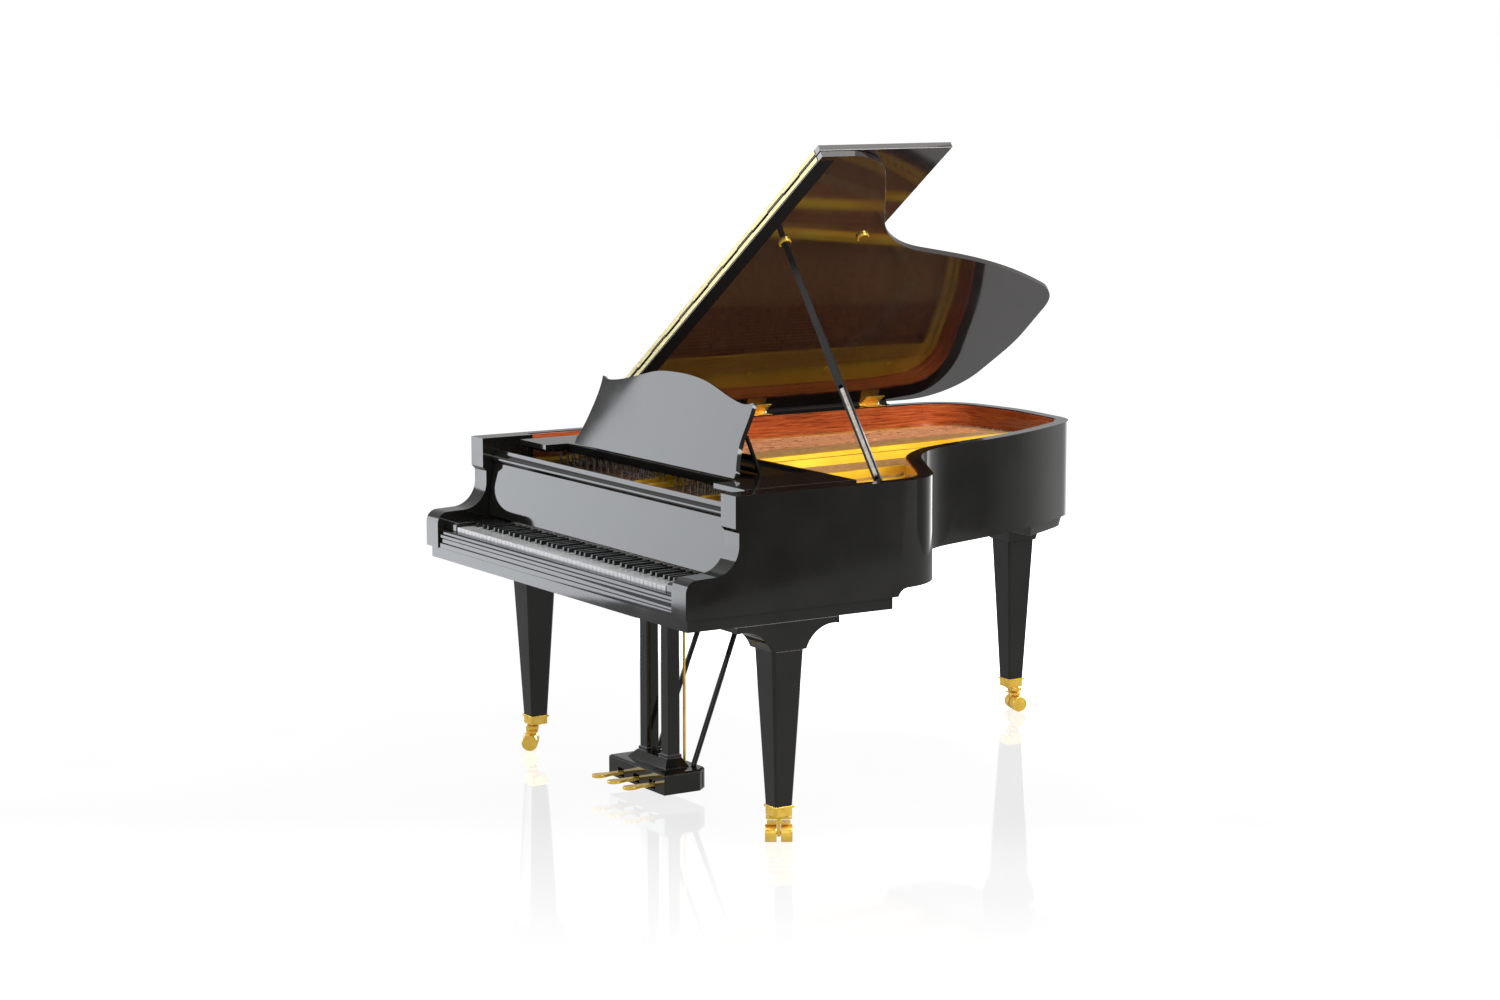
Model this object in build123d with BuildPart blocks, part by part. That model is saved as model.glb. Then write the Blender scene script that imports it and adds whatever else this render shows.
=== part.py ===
from build123d import *
import os
from math import cos, radians, sin

# Grand piano with its lid up on the long prop, its front lid flap folded back and its music desk up.
# Millimetres. +X is the player's right (treble), +Y runs from the keys to the tail, +Z is up.
# The origin is on the floor under the middle of the bounding box.
# Every size below is in case coordinates: X from the case's centre line, Y from its front face, Z from
# the floor. level(), side() and across() give planes in case coordinates.

# ---------------------------------------------------------------- driving dimensions
ORIGIN_X = -11.3         # bounding-box centre in case coordinates
ORIGIN_Y = 1006.6
CASE_HALF = 762.0        # half the case's outside width
RIM_TOP = 991.0
RIM_BOTTOM = 690.0
RIM_WALL = 40.0
VENEER = 6.0             # show-wood lining of the rim
SKIRT_BOTTOM = 667.0     # lower edge of the arms' outer layer
KEYBED_BOTTOM = 632.0
KEYBED_TOP = 690.0
KEYBED_HALF = 750.0
KEYBED_REAR = 680.0
ARM_INNER = 687.0        # inner face of each arm
ARM_REAR = 330.0
ARM_FACE = 157.0         # front face of the arm's upper block

RIM_CORNERS = [
    (762, -400), (762, 822), (262, 1101), (100, 1655), (-92, 1975),
    (-400, 2008), (-735, 1958), (-762, 1690), (-762, -400),
]
RIM_RADII = [205, 430, 2000, 170, 600, 190, 1500]

SOUNDBOARD_LOW = 866.0
SOUNDBOARD_HIGH = 875.0
PLATE_LOW = 905.0
PLATE_HIGH = 917.0
STRUT_HIGH = 945.0
STRING_Z = 922.0
STRUT_GAP = 14.0         # half the plate left beside each strut's line
FLANGE = 50.0            # width of the plate's outer flange
PLATE_FRONT = 346.0
FAN_LENGTH = 1605.0      # from the plate's front edge to where the fan of strings is measured
# X at the front edge and at the fan's rear, for the bass edge, each strut and the treble edge.
FAN_LINES = [(-692, -644), (-81, -240), (-9, -110), (291, 130), (495, 300), (690, 462)]
BELLY_FRONT = 632.0      # front of the belly rail and soundboard

LID_ANGLE = 34.9
LID_WIDTH = 1534.0
LID_THICK = 18.0
LID_OVERHANG = 10.0
HINGE_X = -768.0
HINGE_Z = 997.0
HINGE_RADIUS = 5.0
LID_LOW = -1.0           # lid's underside above the hinge axis, square to the lid
LID_EDGE = 5.6           # from the hinge axis to the lid's bass edge
LIP_DEEP = 7.0           # how far the lid's bass edge hangs below its underside, outside the rim
LIP_SPANS = [(614, 660), (740, 1155), (1235, 1600), (1680, 1710)]
FOLD_Y = 609.0
FLAP_LENGTH = 455.0
LEAF = 2.0               # thickness of a brass hinge leaf
HINGE_PLACES = [700.0, 1195.0, 1640.0]

OCTAVE = 164.5           # seven white keys
WHITE = OCTAVE / 7
KEY_FRONT = 28.0
KEY_HEAD = 50.0
KEY_REAR = 420.0
KEY_LOW = 718.0
KEY_HIGH = 738.0
KEY_GAP = 0.9
NOTES = 88

FALL_HINGE_Y = 184.0
FALL_HINGE_Z = 768.0
FALL_LEAN = 8.0

SHELF_LOW = 966.0
SHELF_HIGH = 986.0
SHELF_FRONT = 345.0
DESK_Y = 362.0
DESK_Z = 989.8
DESK_LEAN = 22.0         # from upright
DESK_THICK = 14.0
DESK_BARREL = 3.5        # radius of the desk's hinge barrels
STRUT_HEIGHT = 118.0     # strut's pivot up the desk, and the strut's own length
STRUT_BACK = 5.5         # strut's pivot behind the desk's back face
DESK_HINGES = (-300.0, 300.0)

LEG_TOP = 102.0
LEG_FOOT = 57.0
LEG_LOW = 110.0
FRONT_LEG = (698.0, 337.0)
TAIL_LEG = (-357.0, 1934.0)
FRONT_LEG_HIGH = 550.0
TAIL_LEG_HIGH = 573.0
FERRULE_LOW = 82.0
WHEEL_RADIUS = 25.0
WHEEL_WIDTH = 32.0       # of each of a caster's two wheels
WEB_WIDTH = 10.0         # of the plate that carries the axle between them
WHEEL_SPACE = 6.0        # from the middle of the web to each wheel
CROWN_LOW = 70.0
AXLE_RADIUS = 4.0
TRAIL = 17.0             # from a caster's swivel axis back to its axle
STEM_RADIUS = 5.0
RUN_CLEARANCE = 0.05     # radial clearance of every pin in its hole

PEDAL_X = {"soft": -90.0, "middle": 0.0, "sustain": 90.0}
ROD_X = {"soft": -60.0, "middle": 0.0, "sustain": 60.0}
PEDAL_PIVOT = (335.0, 50.0)
ROD_Y = 420.0
LYRE_HALF = 160.0
LYRE_FRONT = 291.0
LYRE_REAR = 446.0
LYRE_LOW = 30.0
LYRE_HIGH = 92.0

PROP_BASE = (698.0, 676.0, 963.0)
PROP_SEAT = (1083.0, 729.0)     # where the long prop meets the lid, in lid coordinates
PROP_WIDE = 22.0
SLOT_START = 28.0
SLOT_END = 350.0
SHORT_PIVOT = (46.0, 2.6)       # height up the long prop and offset towards the slot's mouth
SHORT_WIDE = 10.8
SHORT_THICK = 12.0


# ---------------------------------------------------------------- planes and shared shapes
def level(z):
    """Horizontal plane: sketch x is case X, sketch y is case Y."""
    return Plane(origin=(-ORIGIN_X, -ORIGIN_Y, z))


def side(x):
    """Upright plane facing the treble side: sketch x is case Y, sketch y is Z."""
    return Plane(origin=(x - ORIGIN_X, -ORIGIN_Y, 0), x_dir=(0, 1, 0), z_dir=(1, 0, 0))


def across(y):
    """Upright plane facing the tail: sketch x is minus case X, sketch y is Z."""
    return Plane(origin=(-ORIGIN_X, y - ORIGIN_Y, 0), x_dir=(-1, 0, 0), z_dir=(0, 1, 0))


def at(x, y, z):
    """A point in case coordinates."""
    return Vector(x - ORIGIN_X, y - ORIGIN_Y, z)


def block(x0, x1, y0, y1, z0, z1, mode=Mode.ADD):
    """An upright block between two corners in case coordinates."""
    with BuildSketch(level(z0)) as base:
        with Locations(((x0 + x1) / 2, (y0 + y1) / 2)):
            Rectangle(x1 - x0, y1 - y0)
    extrude(base.sketch, amount=z1 - z0, mode=mode)


def rod(start, end, radius, mode=Mode.ADD):
    """A round rod between two points in case coordinates."""
    start_point = at(*start)
    along = at(*end) - start_point
    with BuildSketch(Plane(origin=start_point, z_dir=along)) as section:
        Circle(radius)
    extrude(section.sketch, amount=along.length, mode=mode)


def inset_outline(inset):
    """Corners and corner radii of the case outline, moved in by inset. Hollow corners grow rounder."""
    points = [Vector(x, y) for x, y in RIM_CORNERS]
    corners = [points[0] - Vector(inset, 0)]
    radii = []
    for before, corner, after, radius in zip(points, points[1:], points[2:], RIM_RADII):
        arriving = (corner - before).normalized()
        leaving = (after - corner).normalized()
        inward = Vector(-arriving.Y, arriving.X) + Vector(-leaving.Y, leaving.X)
        corners.append(corner + inward * (inset / (1 + arriving.dot(leaving))))
        turns_in = arriving.cross(leaving).Z > 0
        radii.append(radius - inset if turns_in else radius + inset)
    corners.append(points[-1] + Vector(inset, 0))
    return corners, radii


def case_plan(inset, front, rear=2100.0):
    """The case's outline in plan, moved in from the outer face and cut off between front and rear."""
    corners, radii = inset_outline(inset)
    with BuildSketch() as plan:
        with BuildLine():
            FilletPolyline(*corners, radius=radii)
            Line(corners[-1], corners[0])
        make_face()
        with Locations((0, (front + rear) / 2)):
            Rectangle(2000, rear - front, mode=Mode.INTERSECT)
    return plan.sketch


def case_slab(inset, front, low, high, rear=2100.0, mode=Mode.ADD):
    """A slab that fills the case outline between two levels."""
    with BuildSketch(level(low)) as base:
        add(case_plan(inset, front, rear))
    extrude(base.sketch, amount=high - low, mode=mode)


def fan_x(x, y):
    """X at distance y of a string or strut that starts at x on the plate's front edge."""
    for (front, rear), (next_front, next_rear) in zip(FAN_LINES, FAN_LINES[1:]):
        if x <= next_front:
            break
    share = (x - front) / (next_front - front)
    rear_x = rear + share * (next_rear - rear)
    return x + (rear_x - x) * (y - PLATE_FRONT) / FAN_LENGTH


def strut_lines(width, rear=2050.0):
    """Bands along the plate's struts, in plan."""
    with BuildSketch() as bands:
        for x, _ in FAN_LINES[1:-1]:
            with BuildLine():
                Line((fan_x(x, PLATE_FRONT - 30), PLATE_FRONT - 30), (fan_x(x, rear), rear))
            trace(line_width=width)
    return bands.sketch


def note_positions():
    """Front X of each of the 88 notes, spread over the bays between the plate's struts."""
    edges = [front for front, _ in FAN_LINES]
    bays = [(low + STRUT_GAP, high - STRUT_GAP) for low, high in zip(edges, edges[1:])]
    total = sum(high - low for low, high in bays)
    places = []
    reached = 0.0
    for low, high in bays:
        reached += high - low
        count = round(NOTES * reached / total) - len(places)
        places += [low + (high - low) * (i + 0.5) / count for i in range(count)]
    return places


note_x = note_positions()

# ---------------------------------------------------------------- case
# Each arm ends in a scroll: an upright face, a concave quarter round and a rounded nose.
with BuildPart() as outer_rim:
    case_slab(0, ARM_FACE + 100, RIM_BOTTOM, RIM_TOP)
    case_slab(RIM_WALL, 0, RIM_BOTTOM, RIM_TOP, mode=Mode.SUBTRACT)
    for inner_face in (ARM_INNER, -CASE_HALF):
        with BuildSketch(side(inner_face)):
            with BuildLine():
                Line((ARM_FACE, RIM_TOP), (ARM_FACE, 902))
                Line((ARM_FACE, 902), (168, 890))
                Line((168, 890), (168, 857))
                CenterArc((88, 857), 80, 0, -90)
                Line((88, 777), (35, 775))
                CenterArc((35, 740), 35, 90, 90)
                Line((0, 740), (0, SKIRT_BOTTOM))
                Line((0, SKIRT_BOTTOM), (ARM_REAR, SKIRT_BOTTOM))
                Line((ARM_REAR, SKIRT_BOTTOM), (ARM_REAR, RIM_TOP))
                Line((ARM_REAR, RIM_TOP), (ARM_FACE, RIM_TOP))
            make_face()
        extrude(amount=CASE_HALF - ARM_INNER)
    for inner_face in (CASE_HALF - RIM_WALL, -CASE_HALF):
        with BuildSketch(side(inner_face)):
            with BuildLine():
                Polyline((ARM_REAR, RIM_BOTTOM), (ARM_REAR, SKIRT_BOTTOM), (692, SKIRT_BOTTOM))
                RadiusArc((692, SKIRT_BOTTOM), (722, RIM_BOTTOM), 34)
                Line((722, RIM_BOTTOM), (ARM_REAR, RIM_BOTTOM))
            make_face()
        extrude(amount=RIM_WALL)

with BuildPart() as rim_veneer:
    case_slab(RIM_WALL, ARM_REAR, SOUNDBOARD_LOW, RIM_TOP - 3)
    case_slab(RIM_WALL + VENEER, 0, SOUNDBOARD_LOW, RIM_TOP - 3, mode=Mode.SUBTRACT)

with BuildPart() as inner_rim:
    case_slab(RIM_WALL, BELLY_FRONT + 44, RIM_BOTTOM, SOUNDBOARD_LOW)
    case_slab(RIM_WALL + 52, 0, RIM_BOTTOM, SOUNDBOARD_LOW, mode=Mode.SUBTRACT)

# The keybed is a thick board under the whole action, wider below than between the arms.
with BuildPart() as keybed:
    block(-KEYBED_HALF, KEYBED_HALF, 12, KEYBED_REAR, KEYBED_BOTTOM, SKIRT_BOTTOM)
    block(-ARM_INNER, ARM_INNER, 26, ARM_REAR, SKIRT_BOTTOM, KEYBED_TOP)
    block(-CASE_HALF + RIM_WALL, CASE_HALF - RIM_WALL, ARM_REAR, 712, SKIRT_BOTTOM, KEYBED_TOP)
    for x in ROD_X.values():
        rod((x, ROD_Y, KEYBED_BOTTOM), (x, ROD_Y, KEYBED_TOP - 8), 6, mode=Mode.SUBTRACT)

# Stepped mouldings run along the key slip's face.
with BuildPart() as key_slip:
    with BuildSketch(side(-ARM_INNER + 0.5)):
        with BuildLine():
            Polyline((25, 667), (4, 667), (4, 682), (8, 685), (8, 697), (5, 699), (5, 708))
            Polyline((5, 708), (10, 711), (10, 717), (14, 722), (25, 722), (25, 667))
        make_face()
    extrude(amount=2 * ARM_INNER - 1)

with BuildPart() as key_blocks:
    for x in (-ARM_INNER + 0.5, 616.0):
        with BuildSketch(side(x)):
            with BuildLine():
                Polyline((27, KEYBED_TOP), (27, 736))
                RadiusArc((27, 736), (40, 749), 13)
                Polyline((40, 749), (176, 749), (176, KEYBED_TOP), (27, KEYBED_TOP))
            make_face()
        extrude(amount=ARM_INNER - 616.5)

# Belly rail across the case, three long beams and one cross beam under the soundboard.
with BuildPart() as underside_beams:
    block(-CASE_HALF + RIM_WALL, CASE_HALF - RIM_WALL, BELLY_FRONT, BELLY_FRONT + 44, 712, SOUNDBOARD_LOW)
    with BuildSketch(level(RIM_BOTTOM)):
        for front_x, rear_x in ((-460, -560), (-190, -330), (150, -110)):
            with BuildLine():
                Line((front_x, BELLY_FRONT + 46), (rear_x, 2000))
            trace(line_width=72)
        with Locations((0, 1240)):
            Rectangle(1600, 110)
        add(case_plan(RIM_WALL + 52.5, BELLY_FRONT + 80), mode=Mode.INTERSECT)
    extrude(amount=95)
    with BuildSketch(level(712)):
        for front_x in (-460, -190, 150):
            with Locations((front_x, BELLY_FRONT + 62)):
                Rectangle(66, 40)
    extrude(amount=70)

with BuildPart() as soundboard:
    case_slab(RIM_WALL + VENEER + 0.3, BELLY_FRONT, SOUNDBOARD_LOW, SOUNDBOARD_HIGH)

with BuildPart() as soundboard_ribs:
    with BuildSketch(level(SOUNDBOARD_LOW - 24)):
        for number in range(9):
            y = 760 + 145 * number
            with BuildLine():
                Line((-720, y - 60), (720, y + 190))
            trace(line_width=24)
        add(case_plan(RIM_WALL + 53, BELLY_FRONT + 50), mode=Mode.INTERSECT)
    extrude(amount=24)

# Long curved bridge for tenor and treble, short one for the bass.
with BuildPart() as bridges:
    with BuildSketch(level(SOUNDBOARD_HIGH)):
        with BuildLine():
            corners = ((590, 742), (250, 905), (60, 1180), (-60, 1560), (-300, 1735))
            FilletPolyline(*corners, radius=[260, 420, 160])
        trace(line_width=32)
        with BuildLine():
            FilletPolyline((-640, 1560), (-540, 1700), (-360, 1800), radius=[160])
        trace(line_width=34)
    extrude(amount=28)

# ---------------------------------------------------------------- plate, pins and strings
# One casting: a rim flange, a web behind the pin block, a cross bar, and raised struts whose front ends
# slope down over the bare pin block.
with BuildPart() as iron_plate:
    case_slab(RIM_WALL + VENEER + 1.5, PLATE_FRONT, PLATE_LOW, PLATE_HIGH)
    with BuildSketch(level(PLATE_LOW)):
        add(case_plan(RIM_WALL + VENEER + FLANGE, BELLY_FRONT - 2))
        with Locations((-720, 1300)):
            Rectangle(240, 1700, mode=Mode.SUBTRACT)
        add(strut_lines(2 * STRUT_GAP), mode=Mode.SUBTRACT)
    extrude(amount=PLATE_HIGH - PLATE_LOW, mode=Mode.SUBTRACT)
    with BuildSketch(level(PLATE_LOW)):
        with Locations((0, 439)):
            Rectangle(1392, 200)
        add(strut_lines(2 * STRUT_GAP), mode=Mode.SUBTRACT)
    extrude(amount=PLATE_HIGH - PLATE_LOW, mode=Mode.SUBTRACT)
    with BuildSketch(level(PLATE_HIGH)):
        add(strut_lines(24))
        add(case_plan(RIM_WALL + VENEER + 6, PLATE_FRONT), mode=Mode.INTERSECT)
    extrude(amount=STRUT_HIGH - PLATE_HIGH, taper=6)
    with BuildSketch(side(-720)):
        with BuildLine():
            Polyline((330, 950), (330, PLATE_HIGH + 1), (410, PLATE_HIGH + 1), (530, 950), (330, 950))
        make_face()
    extrude(amount=1440, mode=Mode.SUBTRACT)
    block(-700, 700, 552, 572, PLATE_HIGH, STRING_Z - 1.5)
    for bolt_y in (700, 900, 1200, 1500, 1750):
        rod((-672, bolt_y, SOUNDBOARD_HIGH), (-672, bolt_y, PLATE_LOW), 14)
        rod((-672, bolt_y, PLATE_HIGH), (-672, bolt_y, PLATE_HIGH + 3), 11)

with BuildPart() as pinblock:
    block(-714, 714, PLATE_FRONT + 2, 541, 868, PLATE_LOW - 0.1)

with BuildPart() as tuning_pins:
    for number, x in enumerate(note_x):
        y = (420, 455, 490)[number % 3]
        pin_x = fan_x(x, y)
        rod((pin_x, y, PLATE_LOW), (pin_x, y, PLATE_LOW + 30), 3.2)

with BuildPart() as strings:
    for x in note_x:
        radius = 1.3 if x < -400 else 0.7
        rod((fan_x(x, 530), 530, STRING_Z), (fan_x(x, 1990), 1990, STRING_Z), radius)
    with BuildSketch(level(STRING_Z - 5)):
        add(case_plan(RIM_WALL + VENEER + FLANGE / 2, 500))
    extrude(amount=10, mode=Mode.INTERSECT)

# ---------------------------------------------------------------- key action
with BuildPart() as key_frame:
    block(-612, 612, 42, 70, KEYBED_TOP, 705)
    block(-680, 680, 236, 264, KEYBED_TOP, KEY_LOW - 1.6)
    block(-680, 680, 388, 414, KEYBED_TOP, KEY_LOW - 1.6)

# Hammer rail on four brackets, with a hammer for each note.
with BuildPart() as action_stack:
    block(-690, 690, 452, 486, 792, 812)
    for x in (-686, -230, 226, 682):
        block(x - 4, x + 4, 440, 500, KEYBED_TOP, 792)
    for x in note_x:
        head_x = fan_x(x, 592)
        rod((head_x, 486, 802), (head_x, 584, 802), 2.8)
        block(head_x - 4.4, head_x + 4.4, 582, 604, 796, 872)

with BuildPart() as dampers:
    for x in note_x[:66]:
        damper_x = fan_x(x, 652)
        block(damper_x - 4.2, damper_x + 4.2, 632, 672, STRING_Z + 1.8, STRING_Z + 14)


def slot_span(semitone):
    """Start and end, within an octave, of a key's narrow rear part."""
    if semitone < 5:
        width = 3 * WHITE / 5
        return semitone * width, (semitone + 1) * width
    width = 4 * WHITE / 7
    start = 3 * WHITE + (semitone - 5) * width
    return start, start + width


def octave_start(octave):
    """Case X of the left edge of each octave's C."""
    return -24 * WHITE + (octave - 1) * OCTAVE


def octaves_of(semitone):
    """Octaves of an 88-note keyboard that have this note."""
    first = 0 if semitone >= 9 else 1
    last = 8 if semitone == 0 else 7
    return range(first, last + 1)


def key_tail(octave, semitone, front, low, high):
    """The narrow part of a key, up to its rear end."""
    start, end = slot_span(semitone)
    x = octave_start(octave)
    block(x + start + KEY_GAP / 2, x + end - KEY_GAP / 2, front, KEY_REAR, low, high)


def white_keys(semitone, white_index):
    """All the white keys of one note name."""
    for octave in octaves_of(semitone):
        x = octave_start(octave) + white_index * WHITE
        block(x + KEY_GAP / 2, x + WHITE - KEY_GAP / 2, KEY_FRONT, KEY_FRONT + KEY_HEAD, KEY_LOW, KEY_HIGH)
        key_tail(octave, semitone, KEY_FRONT + KEY_HEAD, KEY_LOW, KEY_HIGH)


with BuildPart() as keys_c:
    white_keys(0, 0)
with BuildPart() as keys_d:
    white_keys(2, 1)
with BuildPart() as keys_e:
    white_keys(4, 2)
with BuildPart() as keys_f:
    white_keys(5, 3)
with BuildPart() as keys_g:
    white_keys(7, 4)
with BuildPart() as keys_a:
    white_keys(9, 5)
with BuildPart() as keys_b:
    white_keys(11, 6)

# A black key is a tapered cap, 95 mm long, on its narrow lever. Its front stays clear of the white heads.
with BuildPart() as keys_black:
    black_front = KEY_FRONT + KEY_HEAD + 1.5
    for semitone in (1, 3, 6, 8, 10):
        start, end = slot_span(semitone)
        for octave in octaves_of(semitone):
            key_tail(octave, semitone, black_front, KEY_LOW, KEY_HIGH - 3)
            middle = octave_start(octave) + (start + end) / 2
            with BuildSketch(level(KEY_HIGH - 3)):
                with Locations((middle, black_front + 47.5)):
                    Rectangle(10.6, 95)
            extrude(amount=15, taper=5)

# ---------------------------------------------------------------- fallboard
# The panel leans back a little and has a moulded lip along its top edge.
fall_plane = Plane(
    origin=at(0, FALL_HINGE_Y, FALL_HINGE_Z),
    x_dir=(0, cos(radians(90 - FALL_LEAN)), sin(radians(90 - FALL_LEAN))),
    z_dir=(1, 0, 0),
)
with BuildPart() as fallboard:
    with BuildSketch(fall_plane.offset(-ARM_INNER + 1.5)):
        with BuildLine():
            Polyline((-14, -2), (-14, 12), (148, 12))
            RadiusArc((148, 12), (160, 22), 14)
            Line((160, 22), (164, 22))
            RadiusArc((164, 22), (188, 10), -18)
            Polyline((188, 10), (188, -2), (-14, -2))
        make_face()
    extrude(amount=2 * ARM_INNER - 3)

# ---------------------------------------------------------------- lid
lid_along = (cos(radians(LID_ANGLE)), 0, sin(radians(LID_ANGLE)))
lid_normal = (-sin(radians(LID_ANGLE)), 0, cos(radians(LID_ANGLE)))


def lid_level(height):
    """Plane of the lid: sketch x runs from the hinge axis to the treble edge, sketch y is case Y."""
    start = at(HINGE_X, 0, HINGE_Z)
    return Plane(origin=start, x_dir=lid_along, z_dir=lid_normal).offset(height)


LID_HIGH = LID_LOW + LID_THICK
FOLD_AXIS = LID_HIGH + 1.0       # height of the flap's hinge axis above the lid hinge axis
FLAP_LOW = FOLD_AXIS + 1.0       # underside of the folded flap
EDGE_GAP = LEAF + 0.3            # from the fold line to each lid's edge
KNUCKLES = 15

with BuildPart() as main_lid:
    with BuildSketch(lid_level(LID_LOW)):
        with Locations((-HINGE_X, 0)):
            add(case_plan(-LID_OVERHANG, FOLD_Y + EDGE_GAP))
        with Locations((LID_EDGE + LID_WIDTH / 2, 1300)):
            Rectangle(LID_WIDTH, 1700, mode=Mode.INTERSECT)
    extrude(amount=LID_THICK)
    chamfer(main_lid.faces().sort_by(Axis(at(0, 0, 0), lid_normal))[-1].edges(), 1.2)
    with BuildSketch(lid_level(LID_LOW - LIP_DEEP)):
        for start, end in LIP_SPANS:
            with Locations((LID_EDGE - 1.5, (start + end) / 2)):
                Rectangle(3, end - start)
    extrude(amount=LIP_DEEP + LID_THICK / 2)

with BuildPart() as front_lid:
    with BuildSketch(lid_level(FLAP_LOW)):
        with Locations((LID_EDGE + LID_WIDTH / 2, FOLD_Y + EDGE_GAP + FLAP_LENGTH / 2)):
            Rectangle(LID_WIDTH, FLAP_LENGTH)
    extrude(amount=LID_THICK)
    chamfer(front_lid.faces().sort_by(Axis(at(0, 0, 0), lid_normal))[0].edges(), 1.2)


def knuckle_span(number):
    """Start and end along the fold of one knuckle of the continuous hinge."""
    pitch = (LID_WIDTH - 40) / KNUCKLES
    return 20 + number * pitch + 0.3, 20 + (number + 1) * pitch - 0.3


def fold_leaf(edge_y, low, high, parity):
    """One leaf of the continuous hinge, on a lid's edge, with every other knuckle."""
    with BuildSketch(lid_level(low)) as leaf:
        with Locations((LID_WIDTH / 2, edge_y)):
            Rectangle(LID_WIDTH - 40, LEAF)
    extrude(leaf.sketch, amount=high - low)
    for number in range(parity, KNUCKLES, 2):
        start, end = knuckle_span(number)
        web_low, web_high = min(low, FOLD_AXIS - 0.5), max(high, FOLD_AXIS + 0.5)
        with BuildSketch(lid_level(web_low)) as web:
            with Locations(((start + end) / 2, edge_y)):
                Rectangle(end - start, LEAF)
        extrude(web.sketch, amount=web_high - web_low)
        barrel_start = lid_level(FOLD_AXIS).origin + Vector(*lid_along) * start + Vector(0, FOLD_Y, 0)
        with BuildSketch(Plane(origin=barrel_start, z_dir=lid_along)) as barrel:
            Circle(1.5)
        extrude(barrel.sketch, amount=end - start)


with BuildPart() as fold_hinge_lid_leaf:
    fold_leaf(FOLD_Y + 0.3 + LEAF / 2, LID_LOW + 3, LID_HIGH - 4, 0)
with BuildPart() as fold_hinge_flap_leaf:
    fold_leaf(FOLD_Y + 0.3 + LEAF / 2, FLAP_LOW + 5, FLAP_LOW + LID_THICK - 2.5, 1)

# Three butt hinges along the bass side. The rim's leaves have two knuckles, the lid's leaves one.
with BuildPart() as lid_hinge_case_leaves:
    for y in HINGE_PLACES:
        block(HINGE_X + 4, HINGE_X + 48, y - 36, y + 36, RIM_TOP, RIM_TOP + LEAF)
        for low in (-36, 12.3):
            rod((HINGE_X, y + low, HINGE_Z), (HINGE_X, y + low + 23.7, HINGE_Z), HINGE_RADIUS)
            with BuildSketch(across(y + low)):
                with Locations((-HINGE_X - 4, RIM_TOP + 1.5)):
                    Rectangle(8, 3)
            extrude(amount=23.7)

with BuildPart() as lid_hinge_lid_leaves:
    for y in HINGE_PLACES:
        rod((HINGE_X, y - 12, HINGE_Z), (HINGE_X, y + 12, HINGE_Z), HINGE_RADIUS)
        with BuildSketch(lid_level(LID_LOW - LEAF)):
            with Locations((LID_EDGE + 22, y)):
                Rectangle(44, 72)
            with Locations((4, y)):
                Rectangle(6, 23.4)
        extrude(amount=LEAF)

# Two brass cups under the lid take the prop's end; each is a half ring, open the way the prop folds.
with BuildPart() as prop_cups:
    for spot in (PROP_SEAT, (PROP_SEAT[0] + 14, 996.0)):
        with BuildSketch(lid_level(LID_LOW - 7)):
            with Locations(spot):
                Circle(19)
                Circle(13.5, mode=Mode.SUBTRACT)
            with Locations((spot[0] - 22, spot[1] + 20)):
                Rectangle(60, 30, rotation=137, mode=Mode.SUBTRACT)
        extrude(amount=7)

# ---------------------------------------------------------------- lid props
prop_seat_point = lid_level(LID_LOW).from_local_coords(Vector(PROP_SEAT[0], PROP_SEAT[1], 0))
prop_base_point = at(*PROP_BASE)
prop_up = (prop_seat_point - prop_base_point).normalized()
prop_length = (prop_seat_point - prop_base_point).length
prop_stowed = Vector(-0.79, 0.61, 0.0).normalized()     # along the bent side when folded down
prop_axis = prop_up.cross(prop_stowed).normalized()


def prop_level(height):
    """Plane across the prop: sketch x is the pivot axis, sketch y points away from the way it folds."""
    return Plane(origin=prop_base_point + prop_up * height, x_dir=prop_axis, z_dir=prop_up)


def prop_pin(height, back, radius, length, mode=Mode.ADD):
    """A pin or hole along the prop's pivot direction, centred on the prop's width."""
    middle = prop_level(height).origin + prop_level(0).y_dir * back
    with BuildSketch(Plane(origin=middle - prop_axis * (length / 2), z_dir=prop_axis)) as section:
        Circle(radius)
    extrude(section.sketch, amount=length, mode=mode)


# The long prop swells to a slotted middle and tapers to a round tip; its foot turns on a pin.
with BuildPart() as lid_prop:
    prop_pin(0, 0, 11, PROP_WIDE)
    with BuildSketch(prop_level(2)):
        Rectangle(PROP_WIDE, 24)
    with BuildSketch(prop_level(SLOT_END)):
        Rectangle(PROP_WIDE, 30)
    loft()
    with BuildSketch(prop_level(SLOT_END)):
        Rectangle(PROP_WIDE, 30)
    with BuildSketch(prop_level(prop_length - 16)):
        Rectangle(15, 15)
    loft()
    with BuildSketch(prop_level(prop_length - 16)):
        Circle(6.5)
    extrude(amount=15)
    with BuildSketch(prop_level(SLOT_START)):
        with Locations((0, 9)):
            Rectangle(12, 27)
    extrude(amount=SLOT_END - SLOT_START, mode=Mode.SUBTRACT)
    prop_pin(0, 0, AXLE_RADIUS + RUN_CLEARANCE, 40, mode=Mode.SUBTRACT)
    prop_pin(*SHORT_PIVOT, 3 + RUN_CLEARANCE, 40, mode=Mode.SUBTRACT)

# The short prop lies in the long one's slot and swings out on its own pin.
with BuildPart() as short_prop:
    with BuildSketch(prop_level(SHORT_PIVOT[0])):
        with Locations((0, SHORT_PIVOT[1])):
            Rectangle(SHORT_WIDE, SHORT_THICK)
    extrude(amount=SLOT_END - SHORT_PIVOT[0] - 8)
    prop_pin(*SHORT_PIVOT, SHORT_THICK / 2, SHORT_WIDE)
    prop_pin(*SHORT_PIVOT, 3, PROP_WIDE - 0.4)

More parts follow.
